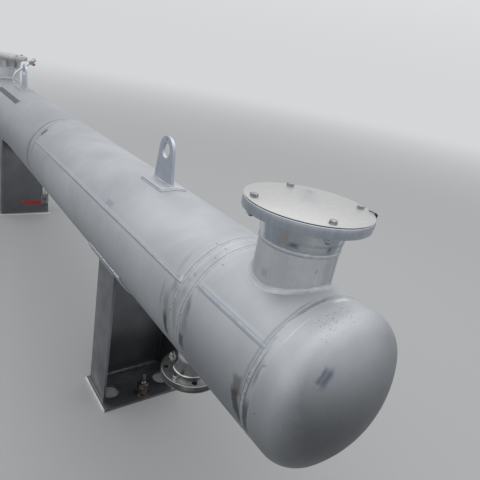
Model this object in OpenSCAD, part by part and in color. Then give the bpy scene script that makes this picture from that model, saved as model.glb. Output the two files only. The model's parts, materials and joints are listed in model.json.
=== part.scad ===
// Fixed-tubesheet shell and tube heat exchanger on two folded-plate saddles.
// Millimetres. X runs along the vessel axis with the near channel at +X, and Z is up.
// The origin is on the ground, under the centre of the near saddle's base plate.

/* [Shell] */
// Outside diameter of shell, channels and heads
shell_od = 457; // [440:1:480]
// Wall of shell, channels and heads
shell_wall = 8; // [6:0.5:12]
// Length of the near shell course
near_course_len = 1750; // [1500:10:2200]
// Length of the far shell course
far_course_len = 1690; // [1500:10:2200]
// Width of the ring between the two courses
girth_band_w = 60; // [40:1:80]
// Thickness of each tubesheet
tubesheet_t = 55; // [40:1:80]
// Length of each channel barrel
channel_len = 318; // [300:1:400]
// Height of the vessel axis above the floor
axis_h = 800; // [700:5:900]
// Tubesheet weld to the centre of the near saddle
saddle_inset = 600; // [500:5:700]

/* [Heads and welds] */
// Straight flange of each dished head
head_straight = 60; // [40:1:80]
// Crown radius of the head as a share of the shell diameter
crown_share = 0.8; // [0.7:0.01:1]
// Knuckle radius of the head as a share of the shell diameter
knuckle_share = 0.154; // [0.12:0.001:0.2]
// Width of a girth weld cap
weld_w = 16; // [10:1:20]
// Height of a girth weld cap
weld_h = 2.4; // [1:0.1:4]
// Leg of the fillet weld round a nozzle foot
nozzle_weld_leg = 12; // [6:1:16]

/* [Top nozzles] */
// Outside diameter of the nozzle pipe
top_pipe_od = 219; // [200:1:230]
// Wall of the nozzle pipe
top_pipe_wall = 8; // [6:0.5:12]
// Vessel axis to the flange face
top_projection = 419; // [400:1:460]
// Outside diameter of the flange
top_flange_od = 343; // [335:1:360]
// Thickness of the flange
top_flange_t = 28.6; // [22:0.2:36]
// Diameter of the hub where it meets the flange
top_hub_od = 240; // [235:1:255]
// Flange face to the hub's weld end
top_hub_len = 101; // [90:1:120]
// Diameter of the flange's bolt circle
top_pcd = 298.5; // [290:0.5:305]
// Diameter of the flange's bolt holes
top_hole_d = 22.4; // [20:0.2:24]
// Thickness of the blank cover
top_cover_t = 4; // [3:0.5:30]
// Shank diameter of the cover bolts
top_bolt_d = 12.7; // [11:0.1:16]

/* [Bottom nozzle] */
// Tubesheet weld to the nozzle's axis
bottom_inset = 163; // [140:1:200]
// Outside diameter of the nozzle pipe
bottom_pipe_od = 114.3; // [100:0.1:120]
// Wall of the nozzle pipe
bottom_pipe_wall = 6; // [4:0.5:8]
// Vessel axis to the flange face
bottom_projection = 400; // [380:1:420]
// Outside diameter of the flange
bottom_flange_od = 228.6; // [220:0.1:240]
// Thickness of the flange
bottom_flange_t = 24; // [18:0.5:28]
// Diameter of the hub where it meets the flange
bottom_hub_od = 135; // [125:1:145]
// Flange face to the hub's weld end
bottom_hub_len = 76; // [66:1:90]
// Diameter of the flange's bolt circle
bottom_pcd = 190.5; // [185:0.5:195]
// Diameter of the flange's bolt holes
bottom_hole_d = 19; // [17:0.5:20]
// Thickness of the blind plate
bottom_blind_t = 6; // [4:0.5:26]
// Shank diameter of the socket screws
bottom_screw_d = 12; // [10:0.5:14]

/* [Saddles] */
// Distance between the two saddles
saddle_span = 2430; // [2300:10:2600]
// Base plate size along the vessel
base_l = 245; // [230:1:300]
// Base plate size across the vessel
base_w = 400; // [390:1:440]
// Thickness of the base plate
base_t = 12; // [8:1:20]
// Thickness of the folded web plate
web_t = 10; // [6:1:14]
// Width of the folded web over its end flanges
web_w = 370; // [350:1:385]
// Depth of the end flanges along the vessel
web_flange = 184; // [150:1:200]
// Web's outer face to the edge of the base plate
web_edge = 15; // [10:1:30]
// Outside radius of the fold
fold_r = 16; // [12:1:24]
// Thickness of the wrapper plate
wrapper_t = 8; // [6:1:12]
// Wrapper length beyond the web's side of the base plate
wrapper_back = 28; // [10:1:60]
// Wrapper length beyond the other side of the base plate
wrapper_front = 55; // [10:1:80]
// Half angle of the wrapper from the bottom of the shell
wrapper_half = 65; // [60:1:75]
// Diameter of the two large holes in the base plate
base_hole_d = 84; // [50:1:90]
// Distance between the two large holes
base_hole_pitch = 262; // [220:1:266]
// Centre of the base plate to the large holes, along the vessel
base_hole_x = 18; // [0:1:25]
// Thread diameter of the levelling bolt
level_d = 30; // [20:1:36]
// Centre of the base plate to the levelling bolt, along the vessel
level_x = 84; // [60:1:95]
// Height of the levelling bolt's end above the base plate
level_h = 112; // [80:1:140]

/* [Lifting lugs] */
// Centre of the saddle to the lug, along the vessel
lug_x = 40; // [0:1:60]
// Thickness of the lug plate
lug_t = 12; // [8:1:20]
// Width of the lug at its foot
lug_w = 146; // [130:1:170]
// Shell crest to the centre of the lug's hole
lug_hole_h = 130; // [110:1:150]
// Diameter of the lug's hole
lug_hole_d = 60; // [40:1:66]
// Radius of the lug's round top
lug_top_r = 55; // [45:1:60]
// Diameter of the small hole near the lug's top
lug_pin_d = 7; // [5:0.5:9]
// Length of the pad under the lug
pad_l = 192; // [180:1:220]
// Width of the pad round the shell
pad_w = 110; // [90:1:140]
// Thickness of the pad
pad_t = 8; // [5:0.5:10]
// Corner radius of the pad
pad_corner = 14; // [8:1:25]

/* [Vent] */
// Far tubesheet weld to the vent pipe
vent_inset = 108; // [90:1:140]
// Outside diameter of the vent pipe
vent_pipe_od = 21.3; // [18:0.1:24]
// Wall of the vent pipe
vent_pipe_wall = 2.8; // [2:0.1:4]
// Shell crest to the start of the bend
vent_rise = 30; // [20:1:50]
// Centreline radius of the bend
vent_bend_r = 76; // [60:1:100]
// Angle that the vent pipe is bent from the vertical
vent_angle = 50; // [30:1:70]
// Straight length after the bend
vent_run = 118; // [80:1:140]

/* [Drain] */
// Girth band to the drain pipe
drain_inset = 508; // [400:1:600]
// Outside diameter of the drain pipe
drain_pipe_od = 33.4; // [30:0.1:36]
// Wall of the drain pipe
drain_pipe_wall = 3.4; // [2.5:0.1:4]
// Vessel axis to the centre of the drain valve
drain_drop = 455; // [420:1:480]

/* [Vent valve] */
// Bore of the vent valve's ball
vent_valve_bore = 14; // [10:0.5:15]
// Length of the vent valve's body
vent_valve_len = 62; // [60:1:80]
// Size over the flats of the vent valve's hexagon ends
vent_valve_hex = 27; // [26:0.5:32]
// Diameter of the vent valve's stem
vent_stem_d = 8; // [6:0.5:9]
// Stem to the end of the vent lever
vent_lever_len = 104; // [80:1:130]
// Width of the vent lever
vent_lever_w = 16; // [12:0.5:20]
// Thickness of the vent lever
vent_lever_t = 2.5; // [2:0.1:4]

/* [Drain valve] */
// Bore of the drain valve's ball
drain_valve_bore = 25; // [20:0.5:26]
// Length of the drain valve's body
drain_valve_len = 92; // [88:1:110]
// Size over the flats of the drain valve's hexagon ends
drain_valve_hex = 41; // [40:0.5:46]
// Diameter of the drain valve's stem
drain_stem_d = 12; // [9:0.5:13]
// Stem to the end of the drain lever
drain_lever_len = 158; // [120:1:180]
// Width of the drain lever
drain_lever_w = 24; // [18:0.5:28]
// Thickness of the drain lever
drain_lever_t = 3.5; // [2.5:0.1:5]

/* [Valve fits] */
// Gap between ball and body
ball_gap = 0.3; // [0.2:0.05:0.5]
// Radial running gap of the stem
stem_gap = 0.05; // [0.02:0.01:0.1]
// Gap between a grip or plate and what it is fitted on
slip_gap = 0.1; // [0.05:0.01:0.3]
// Wall left between a valve's ball seat and its threaded socket
socket_floor = 1; // [0.5:0.1:2]

/* [Hidden] */
$fn = 96;
eps = 0.01;
shell_r = shell_od / 2;
bore_r = shell_r - shell_wall;
// Places along the vessel axis
near_ts_x = saddle_inset;
near_channel_x = near_ts_x + tubesheet_t;
near_head_x = near_channel_x + channel_len;
girth_x = near_ts_x - near_course_len;
far_course_x = girth_x - girth_band_w;
far_ts_x = far_course_x - far_course_len;
far_channel_x = far_ts_x - tubesheet_t;
far_head_x = far_channel_x - channel_len;
near_nozzle_x = near_channel_x + channel_len / 2 + 5;
far_nozzle_x = far_channel_x - channel_len / 2 - 5;
bottom_nozzle_x = near_ts_x - bottom_inset;
vent_x = far_ts_x + vent_inset;
drain_x = far_course_x - drain_inset;
top_bolt_len = top_flange_t + top_cover_t;
wrapper_r = shell_r + wrapper_t;
pad_r = shell_r + pad_t;
lug_base_z = shell_r + pad_t;
// Valve sizes: bore, ball radius, barrel radius, length, socket radius, hexagon size,
// stem radius, boss radius, boss height, lever length, lever width, lever plate
function valve_sizes(bore, len, hex, stem_d, lever_len, lever_w, lever_t, pipe_od) = [
    bore, 0.76 * bore, 0.63 * hex, len, 0.44 * pipe_od, hex,
    stem_d / 2, stem_d, 0.63 * hex + 1.2 * stem_d, lever_len, lever_w, lever_t
];
vent_valve = valve_sizes(vent_valve_bore, vent_valve_len, vent_valve_hex, vent_stem_d,
    vent_lever_len, vent_lever_w, vent_lever_t, vent_pipe_od);
drain_valve = valve_sizes(drain_valve_bore, drain_valve_len, drain_valve_hex, drain_stem_d,
    drain_lever_len, drain_lever_w, drain_lever_t, drain_pipe_od);

// Shared shapes

// Puts children, drawn with the vessel axis on X at z = 0, at the axis height
module on_axis(x) {
    translate([x, 0, axis_h]) children();
}

// Tube along +X from the origin
module tube_x(r_out, r_in, len) {
    rotate([0, 90, 0]) difference() {
        cylinder(r = r_out, h = len);
        translate([0, 0, -1]) cylinder(r = r_in, h = len + 2);
    }
}

// Raised weld cap round the shell, centred at x = 0
module weld_cap(r) {
    rotate([0, 90, 0]) rotate_extrude() translate([r, 0]) intersection() {
        translate([0, -weld_w / 2]) square([weld_h, weld_w]);
        translate([weld_h - (weld_w * weld_w / 4 + weld_h * weld_h) / (2 * weld_h), 0])
            circle(r = (weld_w * weld_w / 4 + weld_h * weld_h) / (2 * weld_h));
    }
}

// Points of a dished end's curve from its side to its crown: a knuckle arc, then a crown arc
function dish_curve(skin) = let (
    r_crown = shell_od * crown_share - skin,
    r_knuckle = shell_od * knuckle_share - skin,
    a = shell_r - skin - r_knuckle,
    spread = asin(a / (r_crown - r_knuckle)),
    drop = (r_crown - r_knuckle) * cos(spread)
) concat(
    [for (i = [0 : 16]) let (t = i * (90 - spread) / 16)
        [a + r_knuckle * cos(t), r_knuckle * sin(t)]],
    [for (i = [1 : 24]) let (u = spread * (1 - i / 24))
        [r_crown * sin(u), r_crown * cos(u) - drop]]
);

// Dished head whose weld end is at x = 0 and whose crown points along +X
module dished_head() {
    outer = dish_curve(0);
    inner = dish_curve(shell_wall);
    last = len(inner) - 1;
    translate([head_straight, 0, 0]) rotate([0, 90, 0]) rotate_extrude() polygon(concat(
        [[shell_r, -head_straight]], outer,
        [for (i = [0 : last]) inner[last - i]], [[bore_r, -head_straight]]
    ));
}

// Vessel barrel along +X with one round opening toward dir (1 up, -1 down)
module barrel(len, hole_x, hole_d, dir) {
    difference() {
        tube_x(shell_r, bore_r, len);
        if (hole_d > 0)
            translate([hole_x, 0, 0]) rotate([dir > 0 ? 0 : 180, 0, 0])
                cylinder(d = hole_d, h = shell_r + 5);
    }
}

// Nozzle pipe, cut to sit on the shell, up to the height where the hub starts
module nozzle_neck(pipe_od, wall, top) {
    difference() {
        cylinder(d = pipe_od, h = top);
        translate([0, 0, -1]) cylinder(d = pipe_od - 2 * wall, h = top + 2);
        rotate([0, 90, 0]) cylinder(r = shell_r, h = 2 * pipe_od, center = true);
    }
}

// Weld-neck flange with its face at z = 0 and its hub below
module neck_flange(od, t, hub_od, pipe_od, wall, len, pcd, hole_d) {
    lip = 6;
    difference() {
        rotate_extrude() polygon([
            [pipe_od / 2 - wall, 0], [od / 2 - 1.5, 0], [od / 2, -1.5], [od / 2, -t + 1.5],
            [od / 2 - 1.5, -t], [hub_od / 2 + 3, -t], [hub_od / 2, -t - 3],
            [pipe_od / 2 - 0.5, -len + lip], [pipe_od / 2 - 0.5, -len], [pipe_od / 2 - wall, -len]
        ]);
        bolt_circle(pcd, 8) translate([0, 0, -t - 20]) cylinder(d = hole_d, h = t + 40);
    }
}

// Copies children round a bolt circle that straddles the centrelines
module bolt_circle(pcd, n, skip = 1) {
    for (i = [0 : skip : n - 1])
        rotate([0, 0, (i + 0.5) * 360 / n]) translate([pcd / 2, 0, 0]) children();
}

// Hexagon of a given width across flats
module hexagon(across, h) {
    cylinder(d = across / cos(30), h = h, $fn = 6);
}

// Hex bolt with its head's seat at z = 0, its shank down, and a washer and nut under the grip
module hex_bolt(d, grip) {
    hexagon(1.5 * d, 0.64 * d);
    translate([0, 0, -grip - 1.5 * d]) cylinder(d = d, h = grip + 1.5 * d + eps);
    translate([0, 0, -grip - 0.2 * d]) cylinder(d = 2.2 * d, h = 0.2 * d);
    translate([0, 0, -grip - 1.05 * d]) hexagon(1.5 * d, 0.85 * d);
}

// Socket head screw on a washer at z = 0, with a washer and nut under the grip
module socket_screw(d, grip) {
    cylinder(d = 2.2 * d, h = 0.2 * d);
    translate([0, 0, 0.2 * d]) difference() {
        cylinder(d = 1.5 * d, h = d);
        translate([0, 0, 0.4 * d]) hexagon(0.8 * d, d);
    }
    translate([0, 0, -grip - 1.4 * d]) cylinder(d = d, h = grip + 1.4 * d + eps);
    translate([0, 0, -grip - 0.2 * d]) cylinder(d = 2.2 * d, h = 0.2 * d);
    translate([0, 0, -grip - 1.05 * d]) hexagon(1.5 * d, 0.85 * d);
}

// Fillet weld that follows the foot of a nozzle on the shell, its flats just clear of both
module foot_weld(pipe_od, leg) {
    steps = 72;
    seat_r = shell_r + 0.15;
    ring = [for (i = [0 : steps - 1])
        let (a = i * 360 / steps, r = pipe_od / 2 / cos(180 / steps), c = cos(a), s = sin(a),
             foot = sqrt(pow(seat_r, 2) - pow(r * s, 2)),
             toe = sqrt(pow(seat_r, 2) - pow((r + leg) * s, 2)),
             mid = sqrt(pow(seat_r, 2) - pow((r + leg / 2) * s, 2)))
        each [
            [r * c, r * s, foot],
            [(r + leg) * c, (r + leg) * s, toe],
            [(r + 0.42 * leg) * c, (r + 0.42 * leg) * s, mid + 0.42 * leg],
            [r * c, r * s, foot + leg]
        ]];
    polyhedron(points = ring, faces = [for (i = [0 : steps - 1], k = [0 : 3])
        let (j = (i + 1) % steps, m = (k + 1) % 4)
        each [[4 * i + k, 4 * j + k, 4 * j + m], [4 * i + k, 4 * j + m, 4 * i + m]]]);
}

// Saddle parts are drawn with the web on the -X side; dir -1 turns them round
module saddle_place(x, dir) {
    translate([x, 0, 0]) rotate([0, 0, dir > 0 ? 0 : 180]) children();
}

// Base plate with two large holes and the levelling bolt's hole
module saddle_base() {
    difference() {
        translate([-base_l / 2, -base_w / 2, 0]) cube([base_l, base_w, base_t]);
        for (s = [-1, 1]) translate([base_hole_x, s * base_hole_pitch / 2, -1])
            cylinder(d = base_hole_d, h = base_t + 2);
        translate([level_x, 0, -1]) cylinder(d = level_d + 3, h = base_t + 2);
    }
}

// Rounded corner section of the folded plate
module fold_outline(inset) {
    w = web_w - 2 * inset;
    r = fold_r - inset;
    translate([inset + r, -w / 2]) square([web_flange + web_t, w]);
    translate([inset, -w / 2 + r]) square([r + 1, w - 2 * r]);
    for (s = [-1, 1]) translate([inset + r, s * (w / 2 - r)]) circle(r = r);
}

// Folded web: a transverse plate with two end flanges, cut to the wrapper
module saddle_web() {
    web_x = -base_l / 2 + web_edge;
    top = axis_h - sqrt(pow(wrapper_r, 2) - pow(web_w / 2, 2));
    difference() {
        translate([web_x, 0, base_t]) linear_extrude(height = top - base_t + 15) difference() {
            intersection() {
                fold_outline(0);
                translate([0, -web_w / 2]) square([web_flange, web_w]);
            }
            fold_outline(web_t);
        }
        translate([web_x - 1, 0, axis_h]) rotate([0, 90, 0])
            cylinder(r = wrapper_r, h = web_flange + web_t + 2);
    }
}

// Wrapper plate round the lower part of the shell
module saddle_wrapper() {
    len = base_l + wrapper_back + wrapper_front;
    translate([-base_l / 2 - wrapper_back, 0, axis_h]) rotate([0, 90, 0])
        rotate([0, 0, -wrapper_half]) rotate_extrude(angle = 2 * wrapper_half)
            translate([shell_r, 0]) square([wrapper_t, len]);
}

// Levelling stud with a washer and two nuts
module levelling_bolt() {
    nut = 0.8 * level_d;
    translate([level_x, 0, 0]) {
        cylinder(d = level_d, h = base_t + level_h - 4);
        translate([0, 0, base_t + level_h - 4]) cylinder(d1 = level_d, d2 = level_d - 8, h = 4);
        translate([0, 0, base_t]) cylinder(d = 2.2 * level_d, h = 5);
        translate([0, 0, base_t + 5]) hexagon(1.53 * level_d, nut);
        translate([0, 0, base_t + 12 + nut]) cylinder(d = 1.75 * level_d, h = 4);
        translate([0, 0, base_t + 16 + nut]) hexagon(1.53 * level_d, nut);
    }
}

// Pad plate bent to the shell, with round corners
module lug_pad() {
    intersection() {
        translate([-pad_l / 2, 0, 0]) tube_x(pad_r, shell_r, pad_l);
        linear_extrude(height = pad_r + 5) {
            square([pad_l - 2 * pad_corner, pad_w], center = true);
            square([pad_l, pad_w - 2 * pad_corner], center = true);
            for (sx = [-1, 1], sy = [-1, 1])
                translate([sx * (pad_l / 2 - pad_corner), sy * (pad_w / 2 - pad_corner)])
                    circle(r = pad_corner);
        }
    }
}

// Tapered lug plate with a round top, a large hole and a small one
module lug() {
    rise = shell_r + lug_hole_h - lug_base_z;
    reach = sqrt(pow(rise, 2) + pow(lug_w / 2, 2));
    lean = 90 - atan2(rise, lug_w / 2) - asin(lug_top_r / reach);
    tx = lug_top_r * cos(-lean);
    tz = rise - lug_top_r * sin(-lean);
    difference() {
        translate([0, lug_t / 2, 0]) rotate([90, 0, 0]) linear_extrude(height = lug_t) {
            polygon([
                [-lug_w / 2, lug_base_z - 12], [lug_w / 2, lug_base_z - 12],
                [lug_w / 2, lug_base_z], [tx, lug_base_z + tz],
                [-tx, lug_base_z + tz], [-lug_w / 2, lug_base_z]
            ]);
            translate([0, lug_base_z + rise]) circle(r = lug_top_r);
        }
        translate([0, 0, shell_r + lug_hole_h]) rotate([90, 0, 0])
            cylinder(d = lug_hole_d, h = lug_t + 2, center = true);
        translate([0, 0, shell_r + lug_hole_h + (lug_top_r + lug_hole_d / 2) / 2])
            rotate([90, 0, 0]) cylinder(d = lug_pin_d, h = lug_t + 2, center = true);
        translate([-lug_w, 0, 0]) rotate([0, 90, 0]) cylinder(r = pad_r, h = 2 * lug_w);
    }
}

// Valve drawn with its flow along Z, its stem along +X and its centre at the origin
module valve_body(v) {
    hex_len = v[3] / 2 - 0.62 * v[2];
    socket_len = v[3] / 2 - v[1] - ball_gap - socket_floor;
    difference() {
        union() {
            rotate([0, 0, 90]) sphere(r = v[2]);
            cylinder(r = v[2] * 0.92, h = v[3] * 0.62, center = true);
            for (s = [-1, 1]) translate([0, 0, s > 0 ? v[3] / 2 - hex_len : -v[3] / 2])
                hexagon(v[5], hex_len);
            rotate([0, 90, 0]) cylinder(r = v[7] + 2, h = v[8] - 4);
            rotate([0, 90, 0]) cylinder(r = v[7], h = v[8]);
        }
        cylinder(d = v[0], h = v[3] + 2, center = true);
        rotate([0, 0, 90]) sphere(r = v[1] + ball_gap);
        for (s = [-1, 1]) translate([0, 0, s > 0 ? v[3] / 2 - socket_len : -v[3] / 2 - 1])
            cylinder(r = v[4], h = socket_len + 1);
        rotate([0, 90, 0]) cylinder(r = v[6] + stem_gap, h = v[8] + 2);
    }
}

// Ball, stem and lever nut as one turning piece, shown closed
module valve_stem(v) {
    seat = v[8] + 2;
    difference() {
        rotate([0, 90, 0]) sphere(r = v[1]);
        rotate([90, 0, 0]) cylinder(d = v[0], h = 3 * v[1], center = true);
    }
    translate([v[1] * 0.9, 0, 0]) rotate([0, 90, 0]) cylinder(r = v[6], h = seat - v[1] * 0.9);
    translate([seat - 1, 0, 0]) rotate([0, 90, 0])
        cylinder(r = v[6] * 0.7, h = v[11] + v[6] * 1.3 + 1);
    translate([seat + v[11], 0, 0]) rotate([0, 90, 0]) hexagon(v[6] * 2.2, v[6]);
}

// Pressed lever plate that points to -Y when closed
module valve_lever(v) {
    seat = v[8] + 2;
    step = v[10] * 0.55;
    start = v[2] * 0.75;
    difference() {
        union() {
            translate([seat, 0, 0]) rotate([0, 90, 0]) cylinder(r = v[10] * 0.6, h = v[11]);
            translate([0, 0, -v[10] / 2]) linear_extrude(height = v[10]) polygon([
                [seat, 0], [seat, -start], [seat + step, -start - step],
                [seat + step, -v[9]], [seat + step + v[11], -v[9]],
                [seat + step + v[11], -start - step + 1], [seat + v[11], -start + 1],
                [seat + v[11], 0]
            ]);
        }
        translate([seat - 1, 0, 0]) rotate([0, 90, 0])
            cylinder(r = v[6] * 0.7 + slip_gap, h = v[11] + 2);
    }
}

// Plastic grip pushed over the lever's outer part
module valve_grip(v) {
    seat = v[8] + 2;
    step = v[10] * 0.55;
    start = v[2] * 0.75 + step + 4;
    skin = 2.6;
    len = v[9] + skin - start;
    difference() {
        translate([seat + step + v[11] / 2, -start, 0]) rotate([90, 0, 0]) {
            linear_extrude(height = len - v[10] / 2) grip_section(v, skin);
            translate([0, 0, len - v[10] / 2]) intersection() {
                linear_extrude(height = v[10]) grip_section(v, skin);
                rotate([0, 90, 0]) cylinder(d = v[10] + 2 * skin, h = 3 * v[10], center = true);
            }
        }
        translate([seat + step - slip_gap, -v[9] - slip_gap, -v[10] / 2 - slip_gap])
            cube([v[11] + 2 * slip_gap, v[9] - start + 10, v[10] + 2 * slip_gap]);
    }
}

// Rounded section of a grip
module grip_section(v, skin) {
    w = v[10] + 2 * skin;
    h = v[11] + 2 * skin;
    square([h, w - h], center = true);
    for (s = [-1, 1]) translate([0, s * (w - h) / 2]) circle(d = h);
}

// Vessel

module near_head() {
    color("silver") on_axis(near_head_x) dished_head();
}

module far_head() {
    color("silver") on_axis(far_head_x) rotate([0, 0, 180]) dished_head();
}

module head_welds() {
    color("gainsboro") for (x = [near_head_x, far_head_x]) on_axis(x) weld_cap(shell_r);
}

module near_channel() {
    color("silver") on_axis(near_channel_x)
        barrel(channel_len, near_nozzle_x - near_channel_x, top_pipe_od - 2 * top_pipe_wall, 1);
}

module far_channel() {
    color("silver") on_axis(far_head_x)
        barrel(channel_len, far_nozzle_x - far_head_x, top_pipe_od - 2 * top_pipe_wall, 1);
}

// Tubesheet flush with the shell, with a weld cap at each face
module tubesheet() {
    rotate([0, 90, 0]) cylinder(r = shell_r, h = tubesheet_t);
    for (x = [0, tubesheet_t]) translate([x, 0, 0]) weld_cap(shell_r);
}

module near_tubesheet() {
    color("lightgray") on_axis(near_ts_x) tubesheet();
}

module far_tubesheet() {
    color("lightgray") on_axis(far_channel_x) tubesheet();
}

module near_shell_course() {
    color("silver") on_axis(girth_x) barrel(near_course_len, bottom_nozzle_x - girth_x,
        bottom_pipe_od - 2 * bottom_pipe_wall, -1);
}

module far_shell_course() {
    color("silver") on_axis(far_ts_x) difference() {
        barrel(far_course_len, drain_x - far_ts_x, drain_pipe_od - 2 * drain_pipe_wall, -1);
        translate([vent_x - far_ts_x, 0, 0])
            cylinder(d = vent_pipe_od - 2 * vent_pipe_wall, h = shell_r + 5);
    }
}

module girth_band() {
    color("lightgray") on_axis(far_course_x) {
        tube_x(shell_r, bore_r, girth_band_w);
        for (x = [0, girth_band_w]) translate([x, 0, 0]) weld_cap(shell_r);
    }
}

// Top nozzles

module top_neck(x) {
    color("silver") on_axis(x)
        nozzle_neck(top_pipe_od, top_pipe_wall, top_projection - top_hub_len);
}

module top_flange(x) {
    color("darkgray") on_axis(x) translate([0, 0, top_projection])
        neck_flange(top_flange_od, top_flange_t, top_hub_od, top_pipe_od, top_pipe_wall,
            top_hub_len, top_pcd, top_hole_d);
}

module top_cover(x) {
    color("whitesmoke") on_axis(x) translate([0, 0, top_projection]) difference() {
        cylinder(d = top_flange_od, h = top_cover_t);
        bolt_circle(top_pcd, 8, 2) translate([0, 0, -1])
            cylinder(d = top_bolt_d + 2, h = top_cover_t + 2);
    }
}

module top_bolts(x) {
    color("dimgray") on_axis(x) translate([0, 0, top_projection + top_cover_t])
        bolt_circle(top_pcd, 8, 2) hex_bolt(top_bolt_d, top_bolt_len);
}

module near_nozzle_neck() { top_neck(near_nozzle_x); }
module near_nozzle_flange() { top_flange(near_nozzle_x); }
module near_nozzle_cover() { turned(near_nozzle_x) top_cover(near_nozzle_x); }
module near_cover_bolts() { turned(near_nozzle_x) top_bolts(near_nozzle_x); }
module far_nozzle_neck() { top_neck(far_nozzle_x); }
module far_nozzle_flange() { top_flange(far_nozzle_x); }
module far_nozzle_cover() { turned(far_nozzle_x) top_cover(far_nozzle_x); }
module far_cover_bolts() { turned(far_nozzle_x) top_bolts(far_nozzle_x); }

// Turns what is bolted on by one hole, so that its bolts stand as in the first nozzle
module turned(x) {
    translate([x, 0, 0]) rotate([0, 0, 45]) translate([-x, 0, 0]) children();
}

module nozzle_welds() {
    color("white") {
        for (x = [near_nozzle_x, far_nozzle_x]) on_axis(x)
            foot_weld(top_pipe_od, nozzle_weld_leg);
        on_axis(bottom_nozzle_x) rotate([180, 0, 0]) foot_weld(bottom_pipe_od, nozzle_weld_leg);
    }
}

// Bottom nozzle

module bottom_nozzle_neck() {
    color("silver") on_axis(bottom_nozzle_x) rotate([180, 0, 0])
        nozzle_neck(bottom_pipe_od, bottom_pipe_wall, bottom_projection - bottom_hub_len);
}

module bottom_nozzle_flange() {
    color("darkgray") on_axis(bottom_nozzle_x) rotate([180, 0, 0])
        translate([0, 0, bottom_projection])
            neck_flange(bottom_flange_od, bottom_flange_t, bottom_hub_od, bottom_pipe_od,
                bottom_pipe_wall, bottom_hub_len, bottom_pcd, bottom_hole_d);
}

module bottom_blind_flange() {
    color("darkgray") on_axis(bottom_nozzle_x) rotate([180, 0, 0])
        translate([0, 0, bottom_projection]) difference() {
            cylinder(d = bottom_flange_od, h = bottom_blind_t);
            bolt_circle(bottom_pcd, 8) translate([0, 0, -1])
                cylinder(d = bottom_hole_d, h = bottom_blind_t + 2);
        }
}

module bottom_flange_screws() {
    color("gray") on_axis(bottom_nozzle_x)
        translate([0, 0, -bottom_projection + bottom_flange_t])
            bolt_circle(bottom_pcd, 8, 2)
                socket_screw(bottom_screw_d, bottom_flange_t + bottom_blind_t);
}

// Saddles

module near_saddle_base() {
    color("gray") saddle_place(0, 1) saddle_base();
}

module near_saddle_web() {
    color("gray") saddle_place(0, 1) saddle_web();
}

module near_saddle_wrapper() {
    color("gray") saddle_place(0, 1) saddle_wrapper();
}

module far_saddle_base() {
    color("gray") saddle_place(-saddle_span, -1) saddle_base();
}

module far_saddle_web() {
    color("gray") saddle_place(-saddle_span, -1) saddle_web();
}

module far_saddle_wrapper() {
    color("gray") saddle_place(-saddle_span, -1) saddle_wrapper();
}

module levelling_bolts() {
    color("dimgray") {
        saddle_place(0, 1) levelling_bolt();
        saddle_place(-saddle_span, -1) levelling_bolt();
    }
}

// Lifting lugs

module near_lug_pad() {
    color("lightgray") on_axis(lug_x) lug_pad();
}

module near_lug() {
    color("lightgray") on_axis(lug_x) lug();
}

module far_lug_pad() {
    color("lightgray") on_axis(lug_x - saddle_span) lug_pad();
}

module far_lug() {
    color("lightgray") on_axis(lug_x - saddle_span) lug();
}

// Vent

// Places children at the end of the bent vent pipe, with Z along the flow
module at_vent_end() {
    on_axis(vent_x) translate([0, vent_bend_r, shell_r + vent_rise])
        rotate([-vent_angle, 0, 0]) translate([0, -vent_bend_r, vent_run]) children();
}

// Ring section of a pipe
module pipe_section(od, wall) {
    difference() {
        circle(d = od);
        circle(d = od - 2 * wall);
    }
}

// Riser cut to the shell, with the bend above it
module vent_riser() {
    color("silver") on_axis(vent_x) {
        difference() {
            linear_extrude(height = shell_r + vent_rise)
                pipe_section(vent_pipe_od, vent_pipe_wall);
            rotate([0, 90, 0]) cylinder(r = shell_r, h = 4 * vent_pipe_od, center = true);
        }
        translate([0, vent_bend_r, shell_r + vent_rise]) rotate([90, 0, -90])
            rotate_extrude(angle = vent_angle) translate([vent_bend_r, 0])
                pipe_section(vent_pipe_od, vent_pipe_wall);
    }
}

// Straight pipe between the bend and the valve
module vent_run_pipe() {
    color("silver") at_vent_end() translate([0, 0, -vent_run])
        linear_extrude(height = vent_run) pipe_section(vent_pipe_od, vent_pipe_wall);
}

// Places children at the centre of the vent valve, with its stem below the pipe
module at_vent_valve() {
    at_vent_end() translate([0, 0, vent_valve[3] / 2]) rotate([0, 0, 90]) children();
}

module vent_valve_body() {
    color("gainsboro") at_vent_valve() valve_body(vent_valve);
}

module vent_valve_stem() {
    color("silver") at_vent_valve() valve_stem(vent_valve);
}

module vent_lever() {
    color("gainsboro") at_vent_valve() rotate([180, 0, 0]) valve_lever(vent_valve);
}

module vent_grip() {
    color("firebrick") at_vent_valve() rotate([180, 0, 0]) valve_grip(vent_valve);
}

// Drain

module drain_pipe() {
    color("silver") on_axis(drain_x) rotate([180, 0, 0])
        nozzle_neck(drain_pipe_od, drain_pipe_wall, drain_drop - drain_valve[3] / 2);
}

module at_drain_valve() {
    on_axis(drain_x) translate([0, 0, -drain_drop]) children();
}

module drain_valve_body() {
    color("gainsboro") at_drain_valve() valve_body(drain_valve);
}

module drain_valve_stem() {
    color("silver") at_drain_valve() valve_stem(drain_valve);
}

module drain_lever() {
    color("gainsboro") at_drain_valve() valve_lever(drain_valve);
}

module drain_grip() {
    color("firebrick") at_drain_valve() valve_grip(drain_valve);
}

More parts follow.
